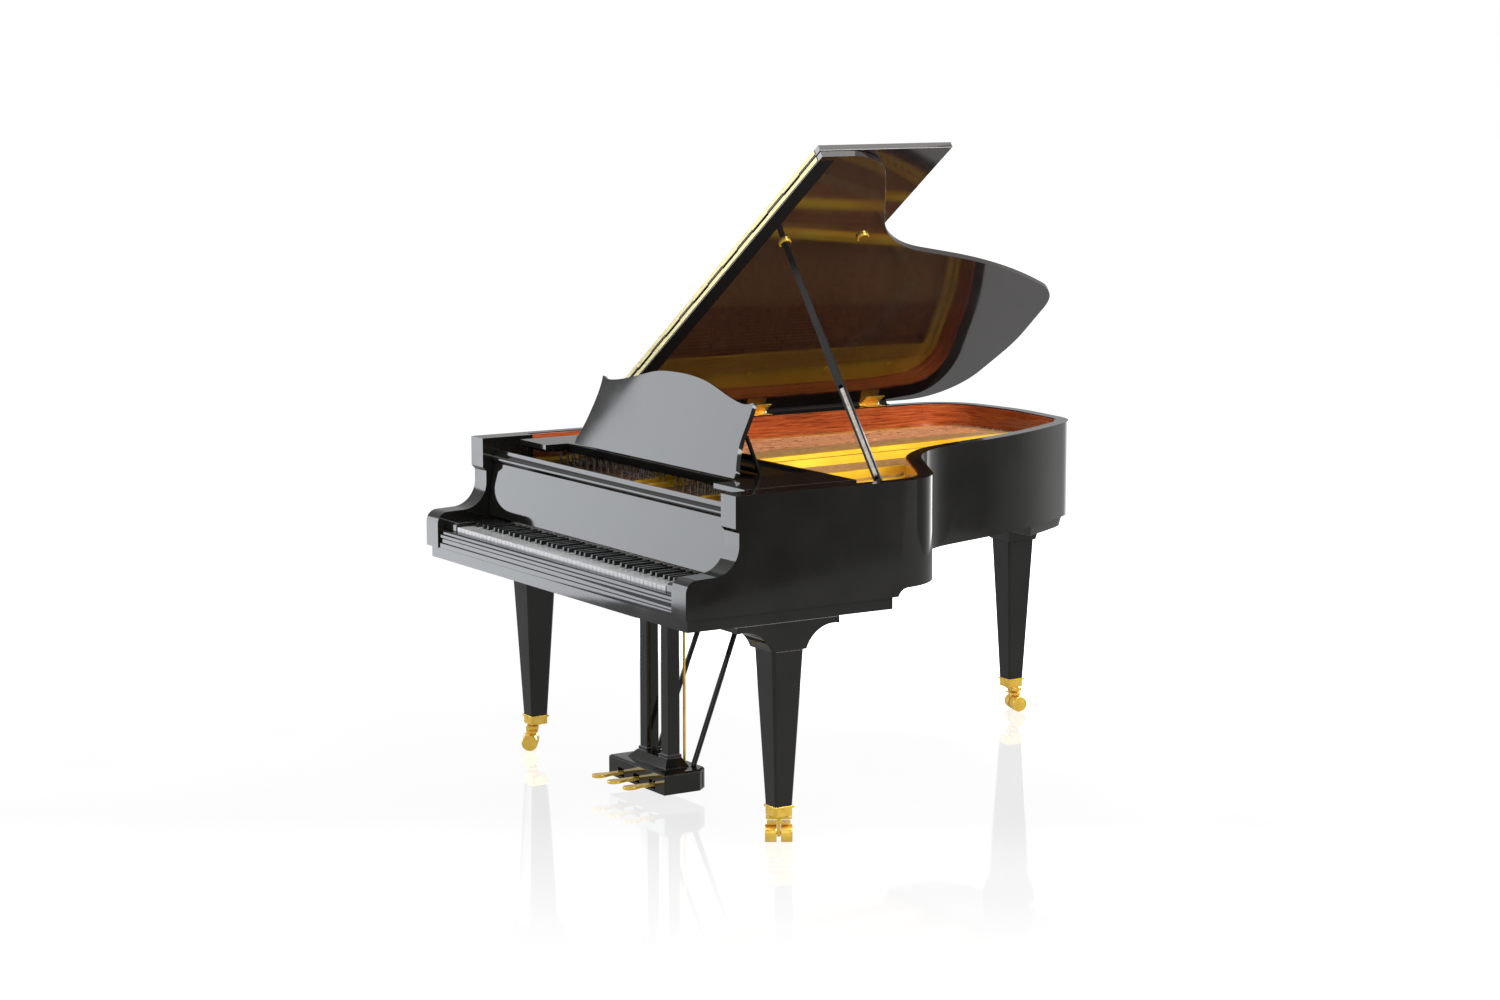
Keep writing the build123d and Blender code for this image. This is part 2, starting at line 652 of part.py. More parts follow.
# The bracket is a foot against the rim with two ears and a cross pin.
with BuildPart() as prop_bracket:
    with BuildSketch(prop_level(-34)):
        Rectangle(34, 24)
    extrude(amount=20.5)
    for middle in (-14.3, 14.3):
        with BuildSketch(prop_level(-14)):
            with Locations((middle, 0)):
                Rectangle(5.4, 20)
        extrude(amount=24)
    prop_pin(0, 0, AXLE_RADIUS, 34)
    block(CASE_HALF - RIM_WALL - VENEER, 800, 600, 760, 900, 1020, mode=Mode.SUBTRACT)

# ---------------------------------------------------------------- music shelf and desk
with BuildPart() as shelf_rails:
    for low in (-716.0, 604.0):
        block(low, low + 112, ARM_REAR + 4, 636, STRUT_HIGH + 1, SHELF_LOW - 0.6)

# The shelf is a board with a moulded front rail and a wing reaching forward at each end.
# A pocket in its top takes the desk's strut when the desk lies flat.
with BuildPart() as music_shelf:
    block(-640, 640, SHELF_FRONT, 632, SHELF_LOW, SHELF_HIGH)
    block(-480, 480, SHELF_FRONT - 8, SHELF_FRONT, SHELF_LOW - 6, SHELF_HIGH)
    for low in (-640.0, 480.0):
        block(low, low + 160, 262, SHELF_FRONT, SHELF_LOW + 4, SHELF_HIGH)
    block(-432, 432, 444, 460, SHELF_HIGH - 0.8, SHELF_HIGH + 1, mode=Mode.SUBTRACT)
    block(-432, 432, 460, 612, SHELF_HIGH - 7, SHELF_HIGH + 1, mode=Mode.SUBTRACT)
    for x in DESK_HINGES:
        for start in (x - 44, x + 30.5):
            rod((start, DESK_Y, DESK_Z), (start + 13.5, DESK_Y, DESK_Z), DESK_BARREL)
            block(start, start + 13.5, DESK_Y - 3.5, DESK_Y + 2, SHELF_HIGH, DESK_Z)

# Desk coordinates: x across, y up the panel from its hinge, z behind the panel's back face.
desk_up = Vector(0, sin(radians(DESK_LEAN)), cos(radians(DESK_LEAN)))
desk_back = Vector(0, cos(radians(DESK_LEAN)), -sin(radians(DESK_LEAN)))
desk_plane = Plane(origin=at(0, DESK_Y, DESK_Z), x_dir=(-1, 0, 0), z_dir=desk_back)
desk_end = Plane(origin=at(0, DESK_Y, DESK_Z), x_dir=desk_up, z_dir=(1, 0, 0))
strut_pivot = desk_plane.origin + desk_up * STRUT_HEIGHT + desk_back * STRUT_BACK

# The top edge rises from a dip beside each ear to a broad middle crest; the ends are hollow curves.
with BuildPart() as music_desk:
    with BuildSketch(desk_plane):
        with BuildLine():
            Line((-452, 4), (452, 4))
            Line((452, 4), (452, 12))
            Spline((452, 12), (424, 95), (422, 214), tangents=((-0.6, 1), (0.35, 1)))
            Spline((422, 214), (338, 209), (170, 247), (0, 262), tangents=((-1, -0.55), (-1, 0)))
            Spline((0, 262), (-170, 247), (-338, 209), (-422, 214), tangents=((-1, 0), (-1, 0.55)))
            Spline((-422, 214), (-424, 95), (-452, 12), tangents=((-0.35, -1), (-0.6, -1)))
            Line((-452, 12), (-452, 4))
        make_face()
    extrude(amount=-DESK_THICK)
    # bevelled foot, level with the shelf
    with BuildSketch(desk_end.offset(-452)):
        with BuildLine():
            Polyline((4, DESK_THICK), (-7.4, DESK_THICK), (4, 3), (4, DESK_THICK))
        make_face()
    extrude(amount=904)
    for x in DESK_HINGES:
        rod((x - 30, DESK_Y, DESK_Z), (x + 30, DESK_Y, DESK_Z), DESK_BARREL)
        with BuildSketch(desk_end.offset(x - 30)):
            with Locations((3, 3.5)):
                Rectangle(6, 7)
        extrude(amount=60)
    # lugs for the strut's pins on the panel's back
    for x in (-404, 404):
        with BuildSketch(desk_plane):
            with Locations((-x, STRUT_HEIGHT)):
                Rectangle(8, 16)
        extrude(amount=STRUT_BACK + 4)
        strut_axis = strut_pivot + Vector(x - 6, 0, 0)
        with BuildSketch(Plane(origin=strut_axis, z_dir=(1, 0, 0))):
            Circle(3 + RUN_CLEARANCE)
        extrude(amount=12, mode=Mode.SUBTRACT)

# A frame of two side bars and two cross bars holds the desk up from behind. It is as long as its
# pivot is far from the desk's hinge, so its foot slides along the shelf as the desk folds.
strut_down = Vector(0, cos(radians(90 - DESK_LEAN)), -sin(radians(90 - DESK_LEAN)))
strut_plane = Plane(origin=strut_pivot, x_dir=(1, 0, 0), z_dir=strut_down)
with BuildPart() as desk_strut:
    for middle in (-416, 416):
        with BuildSketch(strut_plane.offset(-3.5)):
            with Locations((middle, 0)):
                Rectangle(12, 7)
        extrude(amount=STRUT_HEIGHT + 3.5)
    for start in (-422, 398):
        with BuildSketch(Plane(origin=strut_pivot + Vector(start, 0, 0), z_dir=(1, 0, 0))):
            Circle(3)
        extrude(amount=24)
    for height in (60.0, STRUT_HEIGHT - 16):
        with BuildSketch(strut_plane.offset(height)):
            Rectangle(822, 7)
        extrude(amount=12)

# ---------------------------------------------------------------- legs and casters
tail_x, tail_y = TAIL_LEG
leg_x, leg_y = FRONT_LEG


def square_leg(x, y, high):
    """A square leg that tapers to its foot, with small chamfers on its long corners."""
    with BuildSketch(level(LEG_LOW)) as foot:
        with Locations((x, y)):
            Rectangle(LEG_FOOT, LEG_FOOT)
        chamfer(foot.vertices(), 5)
    with BuildSketch(level(high)) as head:
        with Locations((x, y)):
            Rectangle(LEG_TOP, LEG_TOP)
        chamfer(head.vertices(), 8)
    loft([foot.sketch, head.sketch])


with BuildPart() as bass_leg:
    square_leg(-leg_x, leg_y, FRONT_LEG_HIGH)
with BuildPart() as treble_leg:
    square_leg(leg_x, leg_y, FRONT_LEG_HIGH)
with BuildPart() as tail_leg:
    square_leg(tail_x, tail_y, TAIL_LEG_HIGH)

# Under the keybed each front leg has a stepped block that sweeps out along the case.
# The tail leg has a spreading cap under a low moulding that follows the tail.
with BuildPart() as leg_plinths:
    for inner_face in (leg_x - 60, -leg_x - 52):
        with BuildSketch(side(inner_face)):
            with BuildLine():
                Polyline((503, 611), (503, KEYBED_BOTTOM), (171, KEYBED_BOTTOM), (171, 611))
                RadiusArc((171, 611), (280, FRONT_LEG_HIGH), 95)
                Line((280, FRONT_LEG_HIGH), (394, FRONT_LEG_HIGH))
                RadiusArc((394, FRONT_LEG_HIGH), (503, 611), 95)
            make_face()
        extrude(amount=112)
    with BuildSketch(level(TAIL_LEG_HIGH)):
        with Locations(TAIL_LEG):
            Rectangle(LEG_TOP + 6, LEG_TOP + 6)
    with BuildSketch(level(612)):
        with Locations(TAIL_LEG):
            Rectangle(124, 124)
    loft()
    block(tail_x - 62, tail_x + 62, tail_y - 62, tail_y + 62, 612, 652)
    with BuildSketch(level(RIM_BOTTOM)):
        add(case_plan(16, 1700))
    extrude(amount=-38, taper=14)

# Brass shoes on the legs' ends; each is bored for its caster's stem.
with BuildPart() as leg_ferrules:
    for x, y in (FRONT_LEG, (-leg_x, leg_y), TAIL_LEG):
        with BuildSketch(level(FERRULE_LOW)) as shoe:
            with Locations((x, y)):
                Rectangle(LEG_FOOT, LEG_FOOT)
            chamfer(shoe.vertices(), 5)
        extrude(amount=LEG_LOW - FERRULE_LOW)
        block(x - 30.5, x + 30.5, y - 30.5, y + 30.5, LEG_LOW - 6, LEG_LOW)
        rod((x, y, FERRULE_LOW), (x, y, LEG_LOW - 1), STEM_RADIUS + RUN_CLEARANCE, mode=Mode.SUBTRACT)

CASTERS = {
    "treble": (leg_x, leg_y, 147.0),
    "bass": (-leg_x, leg_y, 237.0),
    "tail": (tail_x, tail_y, 75.0),
}


def caster_plane(name, z):
    """Level plane on a caster's stem, with sketch x pointing the way the wheel trails."""
    x, y, angle = CASTERS[name]
    direction = (cos(radians(angle)), sin(radians(angle)), 0)
    return Plane(origin=at(x, y, z), x_dir=direction, z_dir=(0, 0, 1))


def axle_plane(name, sideways):
    """Upright plane across the axle: sketch x trails, sketch y is up."""
    base = caster_plane(name, WHEEL_RADIUS)
    origin = base.origin + base.x_dir * TRAIL + base.y_dir * sideways
    return Plane(origin=origin, x_dir=base.x_dir, z_dir=base.y_dir * -1)


def caster_fork(name):
    """Stem, crown plate, a guard over the wheels and the web that carries the axle between them."""
    with BuildSketch(caster_plane(name, CROWN_LOW + 2)) as stem:
        Circle(STEM_RADIUS)
    extrude(stem.sketch, amount=LEG_LOW - 2 - CROWN_LOW - 2)
    for low, thick, long, wide in ((CROWN_LOW, 8, 34, 72), (2 * WHEEL_RADIUS + 5, 6, 30, 66)):
        with BuildSketch(caster_plane(name, low)) as plate:
            with Locations((TRAIL / 2, 0)):
                Rectangle(long, wide)
            fillet(plate.vertices(), 7)
        extrude(plate.sketch, amount=thick)
    crown_up = CROWN_LOW - WHEEL_RADIUS + 1
    with BuildSketch(axle_plane(name, -WEB_WIDTH / 2)) as web:
        with BuildLine():
            Polyline((-28, crown_up), (13, crown_up), (10, 0))
            RadiusArc((10, 0), (-10, 0), 10)
            Line((-10, 0), (-28, crown_up))
        make_face()
        Circle(AXLE_RADIUS + RUN_CLEARANCE, mode=Mode.SUBTRACT)
    extrude(web.sketch, amount=-WEB_WIDTH)


def caster_wheel(name):
    """Two brass wheels on one axle."""
    for near in (WHEEL_SPACE, -WHEEL_SPACE - WHEEL_WIDTH):
        with BuildSketch(axle_plane(name, near)) as disc:
            Circle(WHEEL_RADIUS)
        extrude(disc.sketch, amount=-WHEEL_WIDTH)
    with BuildSketch(axle_plane(name, -WHEEL_SPACE)) as axle:
        Circle(AXLE_RADIUS)
    extrude(axle.sketch, amount=-2 * WHEEL_SPACE)


with BuildPart() as treble_caster_fork:
    caster_fork("treble")
with BuildPart() as bass_caster_fork:
    caster_fork("bass")
with BuildPart() as tail_caster_fork:
    caster_fork("tail")
with BuildPart() as treble_caster_wheel:
    caster_wheel("treble")
    fillet(treble_caster_wheel.edges().filter_by(GeomType.CIRCLE).group_by(SortBy.LENGTH)[-1], 2.5)
with BuildPart() as bass_caster_wheel:
    caster_wheel("bass")
    fillet(bass_caster_wheel.edges().filter_by(GeomType.CIRCLE).group_by(SortBy.LENGTH)[-1], 2.5)
with BuildPart() as tail_caster_wheel:
    caster_wheel("tail")
    fillet(tail_caster_wheel.edges().filter_by(GeomType.CIRCLE).group_by(SortBy.LENGTH)[-1], 2.5)

# ---------------------------------------------------------------- pedal lyre
with BuildPart() as lyre_box:
    with BuildSketch(level(LYRE_LOW)):
        with BuildLine():
            Polyline(
                (-LYRE_HALF, LYRE_FRONT), (LYRE_HALF, LYRE_FRONT), (LYRE_HALF, LYRE_REAR - 34),
                (LYRE_HALF - 30, LYRE_REAR), (-LYRE_HALF + 30, LYRE_REAR),
                (-LYRE_HALF, LYRE_REAR - 34), (-LYRE_HALF, LYRE_FRONT),
            )
        make_face()
    extrude(amount=LYRE_HIGH - LYRE_LOW)
    chamfer(lyre_box.faces().sort_by(Axis.Z)[-1].edges(), 5)
    block(-146, 146, LYRE_FRONT + 12, LYRE_REAR - 14, LYRE_LOW + 8, LYRE_HIGH - 12, mode=Mode.SUBTRACT)
    for x in PEDAL_X.values():
        block(x - 17, x + 17, LYRE_FRONT - 5, LYRE_FRONT + 20, LYRE_LOW + 8, 64, mode=Mode.SUBTRACT)
    for x in ROD_X.values():
        rod((x, ROD_Y, 70), (x, ROD_Y, LYRE_HIGH + 5), 6, mode=Mode.SUBTRACT)

# Two square posts on a spreading foot, under a head board.
with BuildPart() as lyre_posts:
    with BuildSketch(level(LYRE_HIGH)):
        with Locations((0, 366)):
            Rectangle(220, 82)
    with BuildSketch(level(LYRE_HIGH + 24)):
        with Locations((0, 370)):
            Rectangle(172, 52)
    loft()
    for x in (-60, 60):
        block(x - 20, x + 20, 352, 392, LYRE_HIGH + 24, 604)
        block(x - 24, x + 24, 348, 396, LYRE_HIGH + 24, LYRE_HIGH + 34)
    block(-112, 112, 340, 410, 604, KEYBED_BOTTOM)

with BuildPart() as lyre_braces:
    for x in (-104, 104):
        rod((x, 424, LYRE_HIGH), (x * 0.9, 636, KEYBED_BOTTOM), 8)
    block(-130, 130, 400, 446, LYRE_HIGH - 12, LYRE_HIGH, mode=Mode.SUBTRACT)
    block(-150, 150, 600, 660, KEYBED_BOTTOM, KEYBED_BOTTOM + 12, mode=Mode.SUBTRACT)


def pedal(name):
    """A brass pedal: a rounded toe, a narrow neck and a lever inside the lyre box up to its rod."""
    x = PEDAL_X[name]
    rod_x = ROD_X[name]
    pivot_y, pivot_z = PEDAL_PIVOT
    with BuildSketch(level(pivot_z - 4)) as outline:
        with BuildLine():
            Line((x - 11, 330), (x - 11, 262))
            Spline((x - 11, 262), (x - 19, 222), (x, 196), tangents=((0, -1), (1, 0)))
            Spline((x, 196), (x + 19, 222), (x + 11, 262), tangents=((1, 0), (0, 1)))
            Line((x + 11, 262), (x + 11, 330))
            Line((x + 11, 330), (x - 11, 330))
        make_face()
        with BuildLine():
            Line((x, pivot_y - 8), (rod_x, ROD_Y))
        trace(line_width=16)
        with Locations((rod_x, ROD_Y)):
            Circle(8)
    extrude(outline.sketch, amount=8)


with BuildPart() as soft_pedal:
    pedal("soft")
with BuildPart() as middle_pedal:
    pedal("middle")
with BuildPart() as sustain_pedal:
    pedal("sustain")


def pedal_rod(name):
    """A straight brass rod from the pedal's lever up into the keybed."""
    rod((ROD_X[name], ROD_Y, PEDAL_PIVOT[1] + 4.8), (ROD_X[name], ROD_Y, 664), 4)


with BuildPart() as soft_pedal_rod:
    pedal_rod("soft")
with BuildPart() as middle_pedal_rod:
    pedal_rod("middle")
with BuildPart() as sustain_pedal_rod:
    pedal_rod("sustain")

# ---------------------------------------------------------------- export
PIECES = {
    "outer_rim": outer_rim, "rim_veneer": rim_veneer, "inner_rim": inner_rim, "keybed": keybed,
    "key_slip": key_slip, "key_blocks": key_blocks, "underside_beams": underside_beams,
    "soundboard": soundboard, "soundboard_ribs": soundboard_ribs, "bridges": bridges,
    "iron_plate": iron_plate, "pinblock": pinblock, "tuning_pins": tuning_pins, "strings": strings,
    "key_frame": key_frame, "action_stack": action_stack, "dampers": dampers,
    "keys_c": keys_c, "keys_d": keys_d, "keys_e": keys_e, "keys_f": keys_f, "keys_g": keys_g,
    "keys_a": keys_a, "keys_b": keys_b, "keys_black": keys_black, "fallboard": fallboard,
    "main_lid": main_lid, "front_lid": front_lid, "fold_hinge_lid_leaf": fold_hinge_lid_leaf,
    "fold_hinge_flap_leaf": fold_hinge_flap_leaf, "lid_hinge_case_leaves": lid_hinge_case_leaves,
    "lid_hinge_lid_leaves": lid_hinge_lid_leaves, "prop_cups": prop_cups, "lid_prop": lid_prop,
    "short_prop": short_prop, "prop_bracket": prop_bracket, "shelf_rails": shelf_rails,
    "music_shelf": music_shelf, "music_desk": music_desk, "desk_strut": desk_strut,
    "bass_leg": bass_leg, "treble_leg": treble_leg, "tail_leg": tail_leg,
    "leg_plinths": leg_plinths, "leg_ferrules": leg_ferrules,
    "treble_caster_fork": treble_caster_fork, "bass_caster_fork": bass_caster_fork,
    "tail_caster_fork": tail_caster_fork, "treble_caster_wheel": treble_caster_wheel,
    "bass_caster_wheel": bass_caster_wheel, "tail_caster_wheel": tail_caster_wheel,
    "lyre_box": lyre_box, "lyre_posts": lyre_posts, "lyre_braces": lyre_braces,
    "soft_pedal": soft_pedal, "middle_pedal": middle_pedal, "sustain_pedal": sustain_pedal,
    "soft_pedal_rod": soft_pedal_rod, "middle_pedal_rod": middle_pedal_rod,
    "sustain_pedal_rod": sustain_pedal_rod,
}
os.makedirs("parts", exist_ok=True)
for node, piece in PIECES.items():
    piece.part.label = node
    export_step(piece.part, f"parts/{node}.step")
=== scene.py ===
from math import cos, pi, radians, sin

import bmesh
import bpy
from mathutils import Matrix, Vector


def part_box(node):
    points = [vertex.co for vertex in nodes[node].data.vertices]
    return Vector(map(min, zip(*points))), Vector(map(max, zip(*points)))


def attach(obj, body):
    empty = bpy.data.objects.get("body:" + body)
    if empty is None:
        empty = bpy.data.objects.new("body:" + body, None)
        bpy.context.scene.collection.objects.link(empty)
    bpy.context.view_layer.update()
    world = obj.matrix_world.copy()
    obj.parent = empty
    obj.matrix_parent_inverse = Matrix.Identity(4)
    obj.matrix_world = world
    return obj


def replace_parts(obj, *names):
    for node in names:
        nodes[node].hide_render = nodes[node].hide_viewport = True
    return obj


# Grand piano: finishes for the CAD nodes, then strings, dampers, screws and felts in finer detail than
# the CAD has, a camera and a plain studio. Lengths are in metres, and in millimetres in case(), on_lid(),
# rectangle() and the constants that go into them.
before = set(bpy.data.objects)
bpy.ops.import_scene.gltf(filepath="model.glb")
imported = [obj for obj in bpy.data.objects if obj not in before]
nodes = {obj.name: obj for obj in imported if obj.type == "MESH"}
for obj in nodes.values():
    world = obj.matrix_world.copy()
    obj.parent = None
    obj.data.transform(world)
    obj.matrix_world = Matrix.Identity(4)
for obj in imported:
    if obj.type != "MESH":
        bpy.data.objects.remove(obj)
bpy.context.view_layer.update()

# ---------------------------------------------------------------- the case's own coordinates
rim_low, rim_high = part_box("outer_rim")
CENTRE_X = (rim_low.x + rim_high.x) / 2
FRONT_Y = rim_low.y


def case(x, y, z):
    """A point in millimetres from the case's centre line, its front face and the floor."""
    return Vector((CENTRE_X + x / 1000, FRONT_Y + y / 1000, z / 1000))


LID_ANGLE = radians(34.9)
LID_ALONG = Vector((cos(LID_ANGLE), 0, sin(LID_ANGLE)))
LID_NORMAL = Vector((-sin(LID_ANGLE), 0, cos(LID_ANGLE)))
HINGE_X, HINGE_Z = -768, 997
HINGE = case(HINGE_X, 0, HINGE_Z)


def on_lid(along, y, height):
    """A point on the lid: up it from the hinge axis, along the case, and square to it."""
    return HINGE + LID_ALONG * (along / 1000) + LID_NORMAL * (height / 1000) + Vector((0, y / 1000, 0))


# ---------------------------------------------------------------- material helpers
NOISE_LOW, NOISE_HIGH = 0.3, 0.7     # the span that most of a noise's values lie in
# The colour sockets of a mix node, whose names are the same for numbers and colours.
MIX_FACTOR, MIX_FIRST, MIX_SECOND, MIX_COLOUR = 0, 6, 7, 2


class Shader:
    """A Principled material and short ways to add procedural nodes to it."""

    def __init__(self, name, **values):
        self.material = bpy.data.materials.new(name)
        self.material.use_nodes = True
        self.tree = self.material.node_tree
        self.shader = self.tree.nodes["Principled BSDF"]
        for socket, value in values.items():
            self.shader.inputs[socket.replace("_", " ")].default_value = value
        self.place = self.tree.nodes.new("ShaderNodeTexCoord").outputs["Object"]

    def node(self, kind, **settings):
        made = self.tree.nodes.new(kind)
        for setting, value in settings.items():
            setattr(made, setting, value)
        return made

    def join(self, start, end):
        self.tree.links.new(start, end)

    def spread(self, value, start, end, low=0.0, high=1.0):
        """Takes a value from the span start to end to the span low to high, and stops at its ends."""
        spread = self.node("ShaderNodeMapRange")
        self.join(value, spread.inputs["Value"])
        for socket, level in (("From Min", start), ("From Max", end), ("To Min", low), ("To Max", high)):
            spread.inputs[socket].default_value = level
        return spread.outputs["Result"]

    def along(self, direction):
        """How far a point lies along a direction."""
        dot = self.node("ShaderNodeVectorMath", operation="DOT_PRODUCT")
        self.join(self.place, dot.inputs[0])
        dot.inputs[1].default_value = direction
        return dot.outputs["Value"]

    def scaled(self, scale, turn=(0, 0, 0)):
        """Object coordinates, turned and scaled along each axis."""
        mapping = self.node("ShaderNodeMapping")
        mapping.inputs["Scale"].default_value = scale
        mapping.inputs["Rotation"].default_value = turn
        self.join(self.place, mapping.inputs["Vector"])
        return mapping.outputs["Vector"]

    def noise(self, vector, scale, detail=4.0, roughness=0.5, distortion=0.0):
        noise = self.node("ShaderNodeTexNoise")
        self.join(vector, noise.inputs["Vector"])
        values = {"Scale": scale, "Detail": detail, "Roughness": roughness, "Distortion": distortion}
        for socket, value in values.items():
            noise.inputs[socket].default_value = value
        return noise.outputs["Fac"]

    def ramp(self, factor, stops):
        """Colours or greys at places along a factor."""
        ramp = self.node("ShaderNodeValToRGB")
        self.join(factor, ramp.inputs["Fac"])
        points = ramp.color_ramp.elements
        while len(points) < len(stops):
            points.new(0.5)
        for point, (place, value) in zip(points, stops):
            point.position = place
            point.color = (value, value, value, 1) if isinstance(value, float) else (*value, 1)
        return ramp.outputs["Color"]

    def two_tone(self, noise, dark, light):
        """A colour between two, as a noise goes over its usual span."""
        return self.ramp(noise, [(NOISE_LOW, dark), (NOISE_HIGH, light)])

    def mix(self, mode, first, second):
        """A colour mix node of two colours. Its factor is still to be set."""
        mix = self.node("ShaderNodeMix", data_type="RGBA", blend_type=mode)
        self.join(first, mix.inputs[MIX_FIRST])
        self.join(second, mix.inputs[MIX_SECOND])
        return mix

    def multiply(self, first, second):
        mix = self.mix("MULTIPLY", first, second)
        mix.inputs[MIX_FACTOR].default_value = 1.0
        return mix.outputs[MIX_COLOUR]

    def blend(self, factor, first, second):
        mix = self.mix("MIX", first, second)
        self.join(factor, mix.inputs[MIX_FACTOR])
        return mix.outputs[MIX_COLOUR]

    def colour(self, output):
        self.join(output, self.shader.inputs["Base Color"])

    def roughness(self, factor, low, high):
        """Roughness that goes from low to high with a noise."""
        self.join(self.spread(factor, NOISE_LOW, NOISE_HIGH, low, high), self.shader.inputs["Roughness"])

    def bump(self, height, strength, distance=0.001):
        bump = self.node("ShaderNodeBump")
        bump.inputs["Strength"].default_value = strength
        bump.inputs["Distance"].default_value = distance
        self.join(height, bump.inputs["Height"])
        self.join(bump.outputs["Normal"], self.shader.inputs["Normal"])


def lacquer(name, ior, dark=(0.0035, 0.0034, 0.003), light=(0.007, 0.0068, 0.006)):
    """Black polyester: deep gloss with a faint polishing haze and a trace of orange peel."""
    s = Shader(name, IOR=ior)
    haze = s.noise(s.place, 6.0, detail=5)
    s.colour(s.two_tone(haze, dark, light))
    s.roughness(haze, 0.035, 0.085)
    s.bump(s.noise(s.place, 140.0, detail=2), 0.02, 0.0004)
    return s.material


def satin_black():
    """The same black, rubbed to a satin, for the lid prop."""
    s = Shader("satin_black", IOR=1.35, Specular_IOR_Level=0.3)
    haze = s.noise(s.place, 14.0, detail=6)
    s.colour(s.two_tone(haze, (0.006, 0.006, 0.0055), (0.013, 0.0125, 0.012)))
    s.roughness(haze, 0.22, 0.34)
    s.bump(s.noise(s.place, 420.0, detail=2), 0.05, 0.0003)
    return s.material


GRAIN_SCALE = 9.0                # of the noise across the grain, for bands of light and dark wood
PORE_SCALE = 81.0                # and for the pores


def timber(name, dark, middle, light, stretch, gloss, turn=(0, 0, 0), coat=0.0):
    """Wood with long grain, fine pores and slow changes of colour. stretch is small along the grain."""
    s = Shader(name, Coat_Weight=coat, Coat_Roughness=0.05)
    along = s.scaled(stretch, turn)
    grain = s.noise(along, GRAIN_SCALE, detail=8, roughness=0.62, distortion=0.6)
    pores = s.noise(along, PORE_SCALE, detail=3, roughness=0.7)
    cloud = s.noise(s.place, 2.2, detail=3)
    tone = s.ramp(grain, [(NOISE_LOW, dark), (0.5, middle), (NOISE_HIGH, light)])
    fine = s.ramp(pores, [(0.35, 0.62), (0.6, 1.0)])
    patchy = s.two_tone(cloud, 0.8, 1.08)
    s.colour(s.multiply(s.multiply(tone, fine), patchy))
    s.roughness(grain, *gloss)
    s.bump(pores, 0.08, 0.0004)
    return s.material


def gilt():
    """Gold lacquer over a casting: soft sand texture and warmer hollows."""
    s = Shader("gold_plate_lacquer", Metallic=0.2, IOR=1.5, Coat_Weight=0.3, Coat_Roughness=0.12)
    cloud = s.noise(s.place, 5.0, detail=5)
    hollow, face, crest = (0.86, 0.44, 0.02), (0.98, 0.58, 0.03), (1.0, 0.68, 0.05)
    s.colour(s.ramp(cloud, [(NOISE_LOW, hollow), (0.55, face), (0.75, crest)]))
    s.roughness(cloud, 0.28, 0.42)
    sand = s.noise(s.place, 260.0, detail=4, roughness=0.7)
    s.bump(sand, 0.22, 0.0006)
    return s.material


def brass():
    """Polished brass with fine brushing and a little warm tarnish."""
    s = Shader("polished_brass", Metallic=0.72)
    cloud = s.noise(s.place, 30.0, detail=5)
    tarnish, face, bright = (0.82, 0.50, 0.06), (1.0, 0.68, 0.12), (1.0, 0.78, 0.22)
    s.colour(s.ramp(cloud, [(NOISE_LOW, tarnish), (0.6, face), (0.8, bright)]))
    s.roughness(cloud, 0.14, 0.26)
    s.bump(s.noise(s.scaled((60, 60, 900)), 1.0, detail=2), 0.06, 0.0003)
    return s.material


FOLD_AXIS = 0.018                # height of the fold's axis over the lid's hinge axis, square to the lid
# The dark line at the knuckles is painted shade of the gap between them; this span is where it fades out.
KNUCKLE_PAINTED_SHADE = (0.003, 0.0042)   # distance from the fold's axis at which the dark line fades out


def strip_brass_painted_knuckle_shade():
    """Brass of the long fold hinge: a dull face on each leaf, and painted shade where the knuckles lie, a
    near black line.
    """
    s = Shader("strip_brass_painted_knuckle_shade", Metallic=0.6)
    from_axis = s.node("ShaderNodeMath", operation="SUBTRACT")
    s.join(s.along(LID_NORMAL), from_axis.inputs[0])
    from_axis.inputs[1].default_value = HINGE.dot(LID_NORMAL) + FOLD_AXIS
    apart = s.node("ShaderNodeMath", operation="ABSOLUTE")
    s.join(from_axis.outputs["Value"], apart.inputs[0])
    streak = s.noise(s.scaled((4, 60, 60)), 2.0, detail=4)
    bright = s.two_tone(streak, (0.36, 0.30, 0.13), (0.50, 0.43, 0.22))
    # dark is painted shade: the shadowed gap between the knuckles, drawn as a near black line on the
    # leaves.
    dark = s.two_tone(streak, (0.008, 0.007, 0.005), (0.02, 0.016, 0.01))
    s.colour(s.blend(s.spread(apart.outputs["Value"], *KNUCKLE_PAINTED_SHADE), dark, bright))
    s.roughness(streak, 0.24, 0.36)
    return s.material


def steel(name, low, high, roughness, metallic):
    """Plain or tinted steel with a fine uneven polish."""
    s = Shader(name, Metallic=metallic)
    cloud = s.noise(s.place, 60.0, detail=4)
    s.colour(s.two_tone(cloud, low, high))
    s.roughness(cloud, *roughness)
    s.bump(s.noise(s.place, 800.0, detail=2), 0.05, 0.0002)
    return s.material


def wound_copper():
    """Copper winding on the bass strings: close turns across the wire."""
    s = Shader("wound_copper", Metallic=1.0)
    cloud = s.noise(s.place, 40.0, detail=4)
    s.colour(s.two_tone(cloud, (0.42, 0.17, 0.08), (0.72, 0.33, 0.16)))
    s.roughness(cloud, 0.25, 0.4)
    turns = s.node("ShaderNodeTexWave", bands_direction="Y")
    turns.inputs["Scale"].default_value = 400.0
    s.join(s.place, turns.inputs["Vector"])
    s.bump(turns.outputs["Fac"], 0.4, 0.0004)
    return s.material


def key_plastic(name, low, high, gloss):
    """Key covering: nearly even, with faint streaks along the key and the wear of fingers."""
    s = Shader(name, IOR=1.5)
    streak = s.noise(s.scaled((60, 6, 60)), 1.0, detail=5)
    s.colour(s.two_tone(streak, low, high))
    s.roughness(s.noise(s.place, 45.0, detail=4), *gloss)
    s.bump(streak, 0.03, 0.0002)
    return s.material


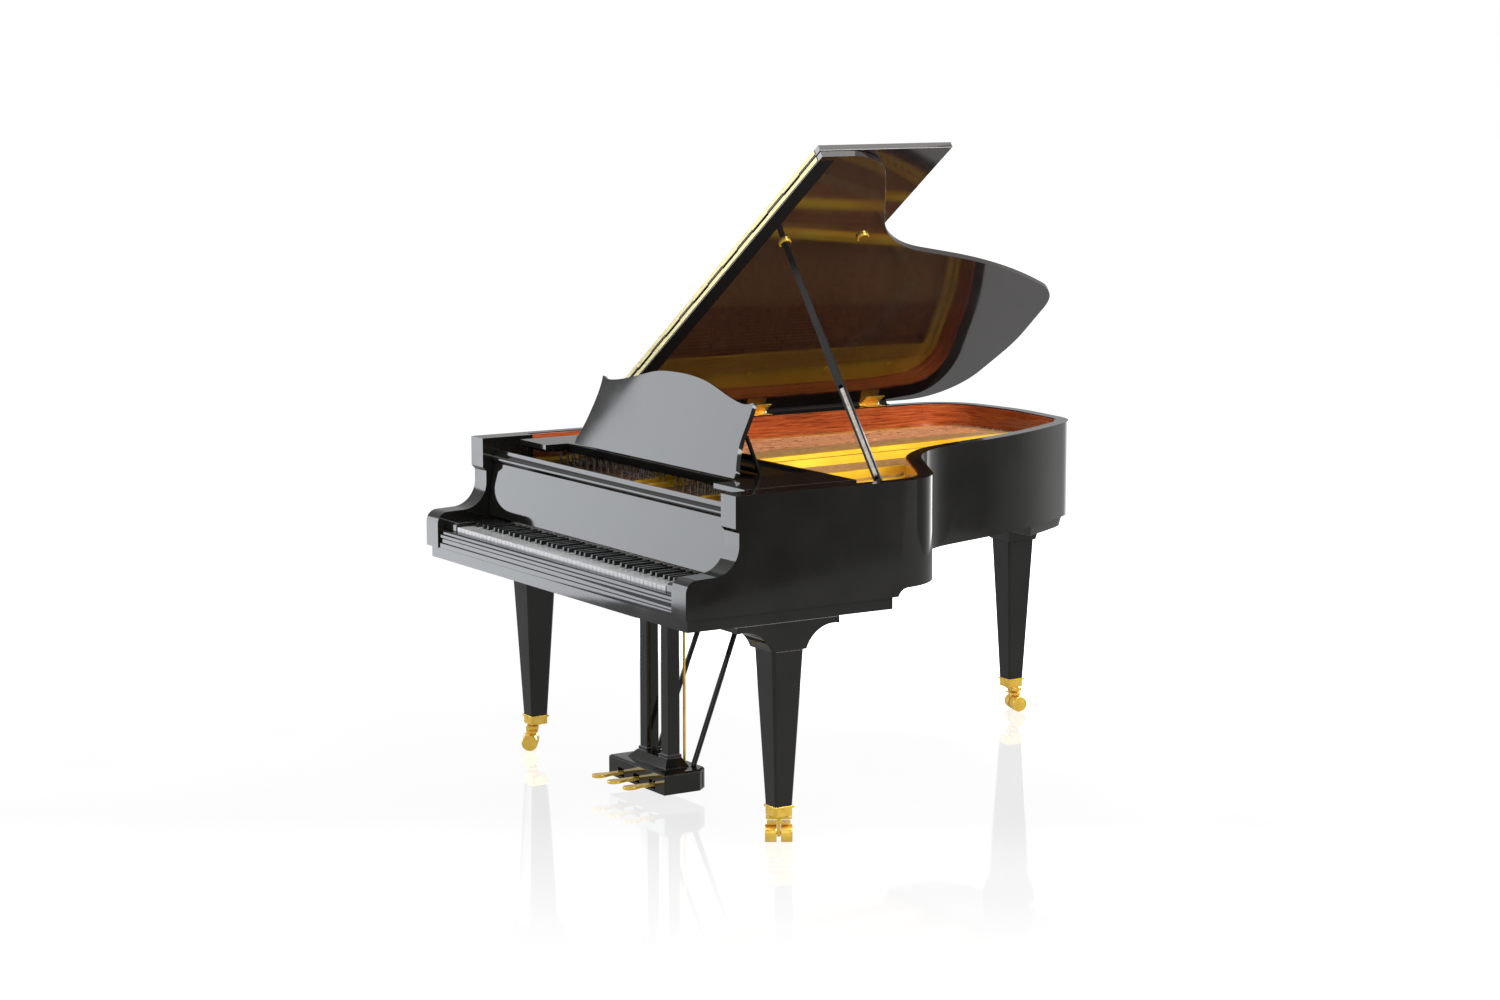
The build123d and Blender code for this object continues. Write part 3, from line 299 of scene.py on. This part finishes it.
def felt(name, dark, light, sheen=0.4):
    """Pressed wool felt: matt, with a short mixed nap."""
    s = Shader(name, Sheen_Weight=sheen, Sheen_Roughness=0.5, Specular_IOR_Level=0.1)
    nap = s.noise(s.place, 900.0, detail=4, roughness=0.8)
    s.colour(s.two_tone(nap, dark, light))
    s.roughness(nap, 0.85, 1.0)
    s.bump(nap, 0.6, 0.0006)
    return s.material


black = lacquer("black_lacquer", 1.5)
# The lid's lighter, warmer black is painted reflection: the brown haze of the lit interior mirrored in the
# lid's underside.
lid_black_painted_reflection = lacquer("lid_lacquer_painted_reflection", 1.85, (0.009, 0.0065, 0.0065), (0.015, 0.011, 0.011))
satin = satin_black()
veneer = timber("mahogany_veneer", (0.14, 0.022, 0.007), (0.47, 0.085, 0.022), (0.70, 0.16, 0.04),
                (1.2, 1.2, 26), gloss=(0.1, 0.2), coat=0.6)
spruce = timber("soundboard_spruce", (0.34, 0.10, 0.025), (0.48, 0.16, 0.04), (0.60, 0.23, 0.07),
                (1.0, 22, 1.0), turn=(0, 0, radians(-32)), gloss=(0.34, 0.46), coat=0.08)
beech = timber("plain_hardwood", (0.28, 0.14, 0.06), (0.42, 0.24, 0.11), (0.55, 0.34, 0.17),
               (2, 18, 18), gloss=(0.4, 0.55))
pine = timber("plain_softwood", (0.36, 0.2, 0.09), (0.52, 0.33, 0.16), (0.66, 0.45, 0.25),
              (16, 1.5, 16), gloss=(0.45, 0.6))
block_wood = timber("pinblock_maple", (0.14, 0.04, 0.016), (0.30, 0.10, 0.04), (0.44, 0.17, 0.07),
                    (1.5, 14, 60), gloss=(0.2, 0.34), coat=0.3)
gold = gilt()
brass_metal = brass()
strips = strip_brass_painted_knuckle_shade()
wire = steel("music_wire", (0.46, 0.24, 0.09), (0.66, 0.38, 0.16), (0.3, 0.42), metallic=0.5)
pin_steel = steel("blued_pin_steel", (0.24, 0.22, 0.2), (0.46, 0.42, 0.38), (0.2, 0.32), metallic=0.7)
copper = wound_copper()
ivory = key_plastic("ivory_keys", (0.24, 0.24, 0.24), (0.31, 0.31, 0.31), (0.12, 0.20))
ebony = key_plastic("ebony_keys", (0.006, 0.006, 0.006), (0.016, 0.016, 0.016), (0.2, 0.32))
white_felt = felt("white_felt", (0.55, 0.54, 0.5), (0.8, 0.79, 0.75))
red_felt = felt("red_felt", (0.10, 0.012, 0.008), (0.24, 0.035, 0.02))
black_felt = felt("black_felt", (0.004, 0.004, 0.004), (0.010, 0.010, 0.010), sheen=0.0)

# ---------------------------------------------------------------- finishes of the CAD nodes
FINISH = {
    "rim_veneer": veneer, "inner_rim": beech, "underside_beams": pine, "soundboard": spruce,
    "soundboard_ribs": pine, "bridges": beech, "iron_plate": gold, "pinblock": block_wood,
    "tuning_pins": pin_steel, "short_prop": pin_steel, "lid_prop": satin,
    "main_lid": lid_black_painted_reflection, "front_lid": lid_black_painted_reflection,
    "fold_hinge_lid_leaf": strips, "fold_hinge_flap_leaf": strips,
    "key_frame": beech, "action_stack": beech, "keys_black": ebony,
}
FINISH.update({"keys_" + letter: ivory for letter in "cdefgab"})
# Other nodes whose names end so are brass, and the rest are black lacquer.
BRASS_ENDS = (
    "_leaf", "_leaves", "_caster_fork", "_caster_wheel", "_pedal", "_pedal_rod",
    "ferrules", "_cups", "_bracket",
)

# Edge radii in millimetres. A node that isn't named has PLAIN_EDGE, and 0 leaves its mesh as it is.
PLAIN_EDGE = 0.8
EDGE = {
    "outer_rim": 2.2, "main_lid": 2.5, "front_lid": 2.5, "music_desk": 1.6, "music_shelf": 1.5,
    "fallboard": 2.5, "key_slip": 1.2, "key_blocks": 2.0, "keybed": 3.0, "leg_plinths": 2.2,
    "bass_leg": 1.6, "treble_leg": 1.6, "tail_leg": 1.6, "lyre_box": 2.0, "lyre_posts": 1.6,
    "iron_plate": 2.4, "lid_prop": 1.6, "short_prop": 1.2, "leg_ferrules": 1.4,
    "soft_pedal": 2.4, "middle_pedal": 2.4, "sustain_pedal": 2.4, "keys_black": 1.4,
    "underside_beams": 2.0, "bridges": 1.5, "action_stack": 0.0, "tuning_pins": 0.5, "strings": 0.0,
}
WELD_DISTANCE = 0.00001
FLAT_ANGLE = radians(0.4)        # faces closer in direction than this are one flat face
EDGE_ANGLE = radians(32)         # edges sharper than this are rounded


def soften(piece, radius):
    """Rounds a piece's edges with modifiers, and shades it smooth across its curved faces."""
    weld = piece.modifiers.new("weld", "WELD")
    weld.merge_threshold = WELD_DISTANCE
    flats = piece.modifiers.new("flats", "DECIMATE")
    flats.decimate_type = "DISSOLVE"
    flats.angle_limit = FLAT_ANGLE
    bevel = piece.modifiers.new("edges", "BEVEL")
    bevel.width = radius / 1000
    bevel.segments = 2
    bevel.limit_method = "ANGLE"
    bevel.angle_limit = EDGE_ANGLE
    bevel.miter_outer = "MITER_ARC"
    normals = piece.modifiers.new("normals", "WEIGHTED_NORMAL")
    normals.keep_sharp = True
    piece.data.polygons.foreach_set("use_smooth", [True] * len(piece.data.polygons))


for node, piece in nodes.items():
    finish = FINISH.get(node, brass_metal if node.endswith(BRASS_ENDS) else black)
    piece.data.materials.clear()
    piece.data.materials.append(finish)
    radius = EDGE.get(node, PLAIN_EDGE)
    if radius:
        soften(piece, radius)

# ---------------------------------------------------------------- mesh helpers
def rod(bm, start, end, radius, sides=8):
    """Adds a closed round rod between two points."""
    along = end - start
    turn = along.to_track_quat("Z", "Y").to_matrix().to_4x4()
    place = Matrix.Translation((start + end) / 2) @ turn
    bmesh.ops.create_cone(
        bm, cap_ends=True, segments=sides, radius1=radius, radius2=radius, depth=along.length, matrix=place)


def prism(bm, outline, place, depth):
    """Adds a closed prism: an outline in the plane of place, raised along its z."""
    low = [bm.verts.new(place @ Vector((x, y, 0))) for x, y in outline]
    high = [bm.verts.new(place @ Vector((x, y, depth))) for x, y in outline]
    bm.faces.new(list(reversed(low)))
    bm.faces.new(high)
    for i in range(len(outline)):
        j = (i + 1) % len(outline)
        bm.faces.new((low[i], low[j], high[j], high[i]))


def facing(place, normal):
    """A matrix that stands on a point with its z along a normal."""
    return Matrix.Translation(place) @ Vector(normal).to_track_quat("Z", "Y").to_matrix().to_4x4()


SCREW_SIDES = 10
SLOT_SHARE = 0.14                # half the slot's width, as a share of the head's radius
HEAD_SHARE = 0.22                # the head's height, as a share of its radius


def screw(bm, place, normal, radius):
    """Adds a screw's head: two low half discs with the driver's slot between them."""
    base = facing(place, normal)
    slot = radius * SLOT_SHARE
    angles = [pi * i / SCREW_SIDES for i in range(SCREW_SIDES + 1)]
    for side in (1, -1):
        arc = [(side * (slot + (radius - slot) * sin(a)), side * -radius * cos(a)) for a in angles]
        prism(bm, arc, base, radius * HEAD_SHARE)


def rectangle(x, y):
    """Outline, in metres, of a rectangle from two spans in millimetres."""
    return [(a / 1000, b / 1000) for a, b in ((x[0], y[0]), (x[1], y[0]), (x[1], y[1]), (x[0], y[1]))]


def add_piece(name, bm, material, body, edge=0.0):
    """Makes an object of a mesh, rides it on its body and names its finish."""
    bmesh.ops.recalc_face_normals(bm, faces=bm.faces)
    mesh = bpy.data.meshes.new(name)
    bm.to_mesh(mesh)
    bm.free()
    mesh.materials.append(material)
    made = bpy.data.objects.new(name, mesh)
    bpy.context.scene.collection.objects.link(made)
    if edge:
        soften(made, edge)
    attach(made, body)
    return made


# ---------------------------------------------------------------- strings, pins and dampers
PLATE_FRONT = 346.0
FAN_LENGTH = 1605.0      # from the plate's front edge to where the fan of strings is measured
STRING_Z = 922.0
STRING_FRONT = 530.0     # where the drawn strings start
STRING_GAP = 3.5         # points of the CAD wires further apart than this are on two wires
SINGLE_NOTES = 8         # the lowest notes have one string, the other wound ones two and the rest three
WOUND_NOTES = 20
UNISONS = {1: (0.0,), 2: (-1.7, 1.7), 3: (-2.6, 0.0, 2.6)}       # X of a note's strings
WOUND_SPAN = (0.03, 0.97)        # the part of a bass string that is wound
WOUND_RADIUS, WOUND_TAPER = 0.0011, 0.00002      # of the lowest string, and less for each note above it
PLAIN_RADIUS = 0.00055
HITCH_RADIUS = 0.0012
HITCH_FOOT, HITCH_TIP = Vector((0, -0.002, -0.005)), Vector((0, -0.002, 0.0045))   # from a string's end
DAMPED_NOTES = 66
DAMPER_Y = 652
DAMPER_HALF_LENGTH = 20
# Height over the strings of each part's underside and top, and half its width.
DAMPER_HEAD = (6.0, 14.0, 3.9)
DAMPER_FELT = (1.9, 6.0, 3.3)
# X at the front edge and at the fan's rear, for the bass edge, each strut and the treble edge.
FAN_LINES = [(-692, -644), (-81, -240), (-9, -110), (291, 130), (495, 300), (690, 462)]


def fan_edges(y):
    """X of the edges of the bays of strings at distance y."""
    along = (y - PLATE_FRONT) / FAN_LENGTH
    return [front + (rear - front) * along for front, rear in FAN_LINES]


def fan_move(x, edges, new_edges):
    """Takes x from its share of a bay between edges to the same share between new_edges."""
    for i in range(len(edges) - 1):
        if x <= edges[i + 1]:
            break
    share = (x - edges[i]) / (edges[i + 1] - edges[i])
    return new_edges[i] + share * (new_edges[i + 1] - new_edges[i])


def fan_start(x, y):
    """Where on the plate's front edge the string through a point starts."""
    return fan_move(x, fan_edges(y), fan_edges(PLATE_FRONT))


def fan_x(x, y):
    """X at distance y of a string that starts at x on the plate's front edge."""
    return fan_move(x, fan_edges(PLATE_FRONT), fan_edges(y))


def string_lines():
    """Start on the plate's front edge and rear end of each string, read from the CAD strings."""
    found = []
    for vertex in nodes["strings"].data.vertices:
        x, y = (vertex.co.x - CENTRE_X) * 1000, (vertex.co.y - FRONT_Y) * 1000
        found.append((fan_start(x, y), y))
    found.sort()
    lines = [[found[0]]]
    for point in found[1:]:
        if point[0] - lines[-1][-1][0] > STRING_GAP:
            lines.append([])
        lines[-1].append(point)
    return [((line[0][0] + line[-1][0]) / 2, max(y for x, y in line)) for line in lines]


def add_strings():
    """Single and double wound bass strings, then three plain wires to a note."""
    plain, wound, hitches = bmesh.new(), bmesh.new(), bmesh.new()
    for number, (start, rear) in enumerate(string_lines()):
        is_wound = number < WOUND_NOTES
        for offset in UNISONS[1 if number < SINGLE_NOTES else 2 if is_wound else 3]:
            front_end = case(fan_x(start, STRING_FRONT) + offset, STRING_FRONT, STRING_Z)
            rear_end = case(fan_x(start, rear) + offset, rear, STRING_Z)
            if is_wound:
                first, last = (front_end.lerp(rear_end, share) for share in WOUND_SPAN)
                rod(wound, first, last, WOUND_RADIUS - number * WOUND_TAPER)
            rod(plain, front_end, rear_end, PLAIN_RADIUS, sides=6)
            rod(hitches, rear_end + HITCH_FOOT, rear_end + HITCH_TIP, HITCH_RADIUS)
    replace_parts(add_piece("plain_strings", plain, wire, "case"), "strings")
    add_piece("wound_strings", wound, copper, "case")
    add_piece("hitch_pins", hitches, pin_steel, "case")


def add_dampers():
    """A lacquered head with a white felt under it for each damped note."""
    heads, felts = bmesh.new(), bmesh.new()
    for start, _ in string_lines()[:DAMPED_NOTES]:
        x = fan_x(start, DAMPER_Y)
        for bm, (bottom, top, half) in ((heads, DAMPER_HEAD), (felts, DAMPER_FELT)):
            outline = rectangle((-half, half), (-DAMPER_HALF_LENGTH, DAMPER_HALF_LENGTH))
            place = Matrix.Translation(case(x, DAMPER_Y, STRING_Z + bottom))
            prism(bm, outline, place, (top - bottom) / 1000)
    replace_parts(add_piece("damper_heads", heads, black, "dampers", edge=1.0), "dampers")
    add_piece("damper_felts", felts, white_felt, "dampers", edge=0.6)


add_strings()
add_dampers()

# ---------------------------------------------------------------- screws
LEG_PLACES = ((698, 337), (-698, 337), (-357, 1934))
FERRULE_SCREWS = ((31, 104), (27, 84))       # distance from the leg's middle, and height
FERRULE_SCREW_RADIUS = 0.0034
LID_HINGE_PLACES = (700.0, 1195.0, 1640.0)
HINGE_SCREWS = ((16, -24), (16, 24), (38, -24), (38, 24))    # from the axis, and along it
HINGE_SCREW_RADIUS = 0.0036
CASE_LEAF_TOP = 993                          # top of the hinge leaves on the rim
LID_LEAF_LOW = -3.0                          # underside of the leaves on the lid


def add_screws():
    """Screws in the ferrules and in the lid hinges' leaves."""
    fixed, moving = bmesh.new(), bmesh.new()
    for x, y in LEG_PLACES:
        for normal in ((1, 0, 0), (-1, 0, 0), (0, 1, 0), (0, -1, 0)):
            for reach, z in FERRULE_SCREWS:
                place = case(x + normal[0] * reach, y + normal[1] * reach, z)
                screw(fixed, place, normal, FERRULE_SCREW_RADIUS)
    for y in LID_HINGE_PLACES:
        for along, side in HINGE_SCREWS:
            on_case = case(HINGE_X + along, y + side, CASE_LEAF_TOP)
            screw(fixed, on_case, (0, 0, 1), HINGE_SCREW_RADIUS)
            screw(moving, on_lid(along, y + side, LID_LEAF_LOW), -LID_NORMAL, HINGE_SCREW_RADIUS)
    add_piece("case_screws", fixed, brass_metal, "case")
    add_piece("lid_screws", moving, brass_metal, "main_lid")


add_screws()

# ---------------------------------------------------------------- felts
RIM_FELT_X = (-761, -748)
RIM_FELT_Z = (991.1, 992.6)
RIM_FELT_SPANS = ((614, 660), (740, 1155), (1235, 1600), (1680, 1710))   # between the lid hinges
PLATE_FELT_Y = (575, 628)
PLATE_FELT_Z = (917.2, 918.8)
PLATE_FELT_GAP = 18                          # between a strip of felt and the struts' lines
LID_FELT = ((16, 1516), (614, 662), (-2.4, -0.9))    # its spans up the lid, along the case and in height


def slab(bm, x, y, z):
    """Adds a closed box over three spans in the case's coordinates."""
    prism(bm, rectangle(x, y), Matrix.Translation(case(0, 0, z[0])), (z[1] - z[0]) / 1000)


def lid_strip(bm, along, y, height):
    """Adds a closed box on the lid over three spans: up it, along the case and square to it."""
    place = Matrix((
        (LID_ALONG.x, 0, LID_NORMAL.x, 0), (0, 1, 0, 0), (LID_ALONG.z, 0, LID_NORMAL.z, 0), (0, 0, 0, 1),
    ))
    low, high = height
    prism(bm, rectangle(along, y), Matrix.Translation(on_lid(0, 0, low)) @ place, (high - low) / 1000)


def add_felts():
    """Cloth under the strings on the plate, and between the lid and the rim; a batten at the fold."""
    cloth, rim_cloth, batten = bmesh.new(), bmesh.new(), bmesh.new()
    front, rear = PLATE_FELT_Y
    low, high = PLATE_FELT_Z
    front_edges, rear_edges = fan_edges(front), fan_edges(rear)
    for i in range(len(front_edges) - 1):
        outline = [
            (front_edges[i] + PLATE_FELT_GAP, front), (front_edges[i + 1] - PLATE_FELT_GAP, front),
            (rear_edges[i + 1] - PLATE_FELT_GAP, rear), (rear_edges[i] + PLATE_FELT_GAP, rear),
        ]
        points = [case(x, y, 0) for x, y in outline]
        level = Matrix.Translation((0, 0, low / 1000))
        prism(cloth, [(p.x, p.y) for p in points], level, (high - low) / 1000)
    for span in RIM_FELT_SPANS:
        slab(rim_cloth, RIM_FELT_X, span, RIM_FELT_Z)
    lid_strip(batten, *LID_FELT)
    add_piece("plate_felt", cloth, red_felt, "case")
    add_piece("rim_felt", rim_cloth, black_felt, "case")
    add_piece("lid_felt", batten, black_felt, "main_lid")


add_felts()

# ---------------------------------------------------------------- camera
CAMERA_PLACE = case(7950.1, -4366.7, 2238.9)
CAMERA_YAW = radians(57.39)
CAMERA_PITCH = radians(-8.24)
LENS = 77.04
CAMERA_SHIFT = (-0.0062, -0.0067)


def add_camera():
    """The camera, fitted to the keyboard's known size and to the case's parallel edges."""
    level = cos(CAMERA_PITCH)
    forward = Vector((-sin(CAMERA_YAW) * level, cos(CAMERA_YAW) * level, sin(CAMERA_PITCH)))
    camera = bpy.data.objects.new("camera", bpy.data.cameras.new("camera"))
    camera.data.lens = LENS
    camera.data.shift_x, camera.data.shift_y = CAMERA_SHIFT
    camera.location = CAMERA_PLACE
    camera.rotation_mode = "QUATERNION"
    camera.rotation_quaternion = forward.to_track_quat("-Z", "Y")
    bpy.context.scene.collection.objects.link(camera)
    bpy.context.scene.camera = camera


# ---------------------------------------------------------------- floor and light
def area_light(name, place, target, size, strength, colour=(1, 1, 1)):
    """A soft box. Strength is its brightness, whatever its size."""
    light = bpy.data.lights.new(name, "AREA")
    light.shape = "RECTANGLE"
    light.size, light.size_y = size
    light.energy = strength * pi * size[0] * size[1]
    light.color = colour
    lamp = bpy.data.objects.new(name, light)
    lamp.location = place
    lamp.rotation_euler = (Vector(target) - Vector(place)).to_track_quat("-Z", "Y").to_euler()
    bpy.context.scene.collection.objects.link(lamp)


def panel(name, corners, material):
    """A flat sheet of the studio, which isn't part of the object."""
    mesh = bpy.data.meshes.new(name)
    mesh.from_pydata([Vector(c) for c in corners], [], [range(len(corners))])
    mesh.materials.append(material)
    made = bpy.data.objects.new(name, mesh)
    bpy.context.scene.collection.objects.link(made)
    return made


TO_CAMERA = (0.83, -0.56, 0)
FLOOR_FADE = (0.7, 2.1)          # distances towards the camera over which the floor's mirroring fades
# The floor's glow and gloss before the fade, after it and as reflections see them.
FLOOR_LEVELS = {"Emission Strength": (0.79, 0.96, 0.4), "Specular IOR Level": (0.5, 0.06, 0.0)}


def floor_material():
    """Pale and faintly mirroring. It glows, so that no shadow shows on it, but little in reflections.

    The mirroring fades towards the camera, and the glow makes up for it.
    """
    s = Shader("studio_floor", IOR=1.8)
    cloud = s.noise(s.place, 1.2, detail=3)
    s.colour(s.two_tone(cloud, (0.03, 0.03, 0.03), (0.04, 0.04, 0.04)))
    glow = s.two_tone(cloud, (0.985, 0.985, 0.985), (1.0, 1.0, 1.0))
    s.join(glow, s.shader.inputs["Emission Color"])
    s.roughness(cloud, 0.03, 0.06)
    nearer = s.along(TO_CAMERA)
    reflected = s.node("ShaderNodeLightPath").outputs["Is Glossy Ray"]
    for socket, (clear, faded, mirrored) in FLOOR_LEVELS.items():
        level = s.node("ShaderNodeMapRange")
        s.join(reflected, level.inputs["Value"])
        s.join(s.spread(nearer, *FLOOR_FADE, clear, faded), level.inputs["To Min"])
        level.inputs["To Max"].default_value = mirrored
        s.join(level.outputs["Result"], s.shader.inputs[socket])
    return s.material


FLAG_GLOW = 4.0                  # brightness of a flag where its ramp is 1


def flag_material(name, axis, stops):
    """A cloth that only reflections see. stops are its brightness at places along an axis."""
    s = Shader(name, Roughness=1.0, Emission_Strength=FLAG_GLOW)
    s.colour(s.two_tone(s.noise(s.place, 20.0), 0.001, 0.003))
    parts = s.node("ShaderNodeSeparateXYZ")
    s.join(s.place, parts.inputs[0])
    start, end = stops[0][0], stops[-1][0]
    points = [((place - start) / (end - start), glow / FLAG_GLOW) for place, glow in stops]
    glow = s.ramp(s.spread(parts.outputs[axis], start, end), points)
    s.join(glow, s.shader.inputs["Emission Color"])
    return s.material


def flag(name, corners, axis, stops):
    """A sheet whose brightness along an axis shows in reflections and nowhere else."""
    made = panel(name, corners, flag_material(name, axis, stops))
    made.visible_camera = False
    made.visible_shadow = False
    made.visible_diffuse = False


def wall(start, end, low, high):
    """Corners of an upright sheet over a line on the floor."""
    return [(*start, low), (*end, low), (*end, high), (*start, high)]


# Brightness of the world to matt surfaces, in reflections and to the camera.
MATT_WORLD, MIRRORED_WORLD, CAMERA_WORLD = 1.0, 0.5, 1.0


def world_light():
    """White to the camera, bright to matt surfaces and dim in reflections."""
    world = bpy.data.worlds.new("studio")
    world.use_nodes = True
    tree = world.node_tree
    output = tree.nodes["World Output"]
    path = tree.nodes.new("ShaderNodeLightPath")
    background = tree.nodes["Background"]
    background.inputs["Color"].default_value = (1, 1, 1, 1)
    background.inputs["Strength"].default_value = MATT_WORLD
    shader = background.outputs["Background"]
    for ray, strength in (("Is Glossy Ray", MIRRORED_WORLD), ("Is Camera Ray", CAMERA_WORLD)):
        level = tree.nodes.new("ShaderNodeBackground")
        level.inputs["Color"].default_value = (1, 1, 1, 1)
        level.inputs["Strength"].default_value = strength
        pick = tree.nodes.new("ShaderNodeMixShader")
        tree.links.new(path.outputs[ray], pick.inputs["Fac"])
        tree.links.new(shader, pick.inputs[1])
        tree.links.new(level.outputs["Background"], pick.inputs[2])
        shader = pick.outputs["Shader"]
    tree.links.new(shader, output.inputs["Surface"])
    bpy.context.scene.world = world


FLOOR_HALF = 40
# Brightness of each flag at places along it.
SIDE_GLOW = [(0.8, 0.0), (1.6, 0.12), (2.6, 0.3)]
REAR_GLOW = [(-4.5, 4.0), (-1.6, 3.0), (-0.6, 0.8), (0.6, 0.3), (1.6, 0.15)]


def studio():
    """The floor, two flags for the side and the tail to mirror, four soft boxes and the world."""
    r = FLOOR_HALF
    panel("floor", [(-r, -r, 0), (r, -r, 0), (r, r, 0), (-r, r, 0)], floor_material())
    flag("side_flag", wall(start=(3.2, -0.8), end=(5.4, 4.4), low=0.02, high=2.6), "Y", SIDE_GLOW)
    flag("rear_flag", wall(start=(2.8, 4.6), end=(-7.0, 3.4), low=0.02, high=1.15), "X", REAR_GLOW)
    area_light("front_box", place=(-2.55, -2.98, 1.3), target=(-0.33, -0.96, 1.3), size=(2.25, 2.56),
               strength=3.9, colour=(0.91, 0.95, 1.0))
    area_light("top_box", place=(0.3, -0.3, 4.6), target=(0, 0, 0), size=(5.5, 5.5), strength=1.6)
    area_light("inside_box", place=(3.4, 0.9, 2.4), target=(-0.5, 0.2, 0.85), size=(2.6, 1.6),
               strength=12.0, colour=(1.0, 0.97, 0.92))
    area_light("camera_box", place=(6.5, -6.5, 3.6), target=(0, 0, 0.9), size=(2.6, 2.6), strength=1.5)
    world_light()
    bpy.context.scene.view_settings.view_transform = "Standard"


add_camera()
studio()
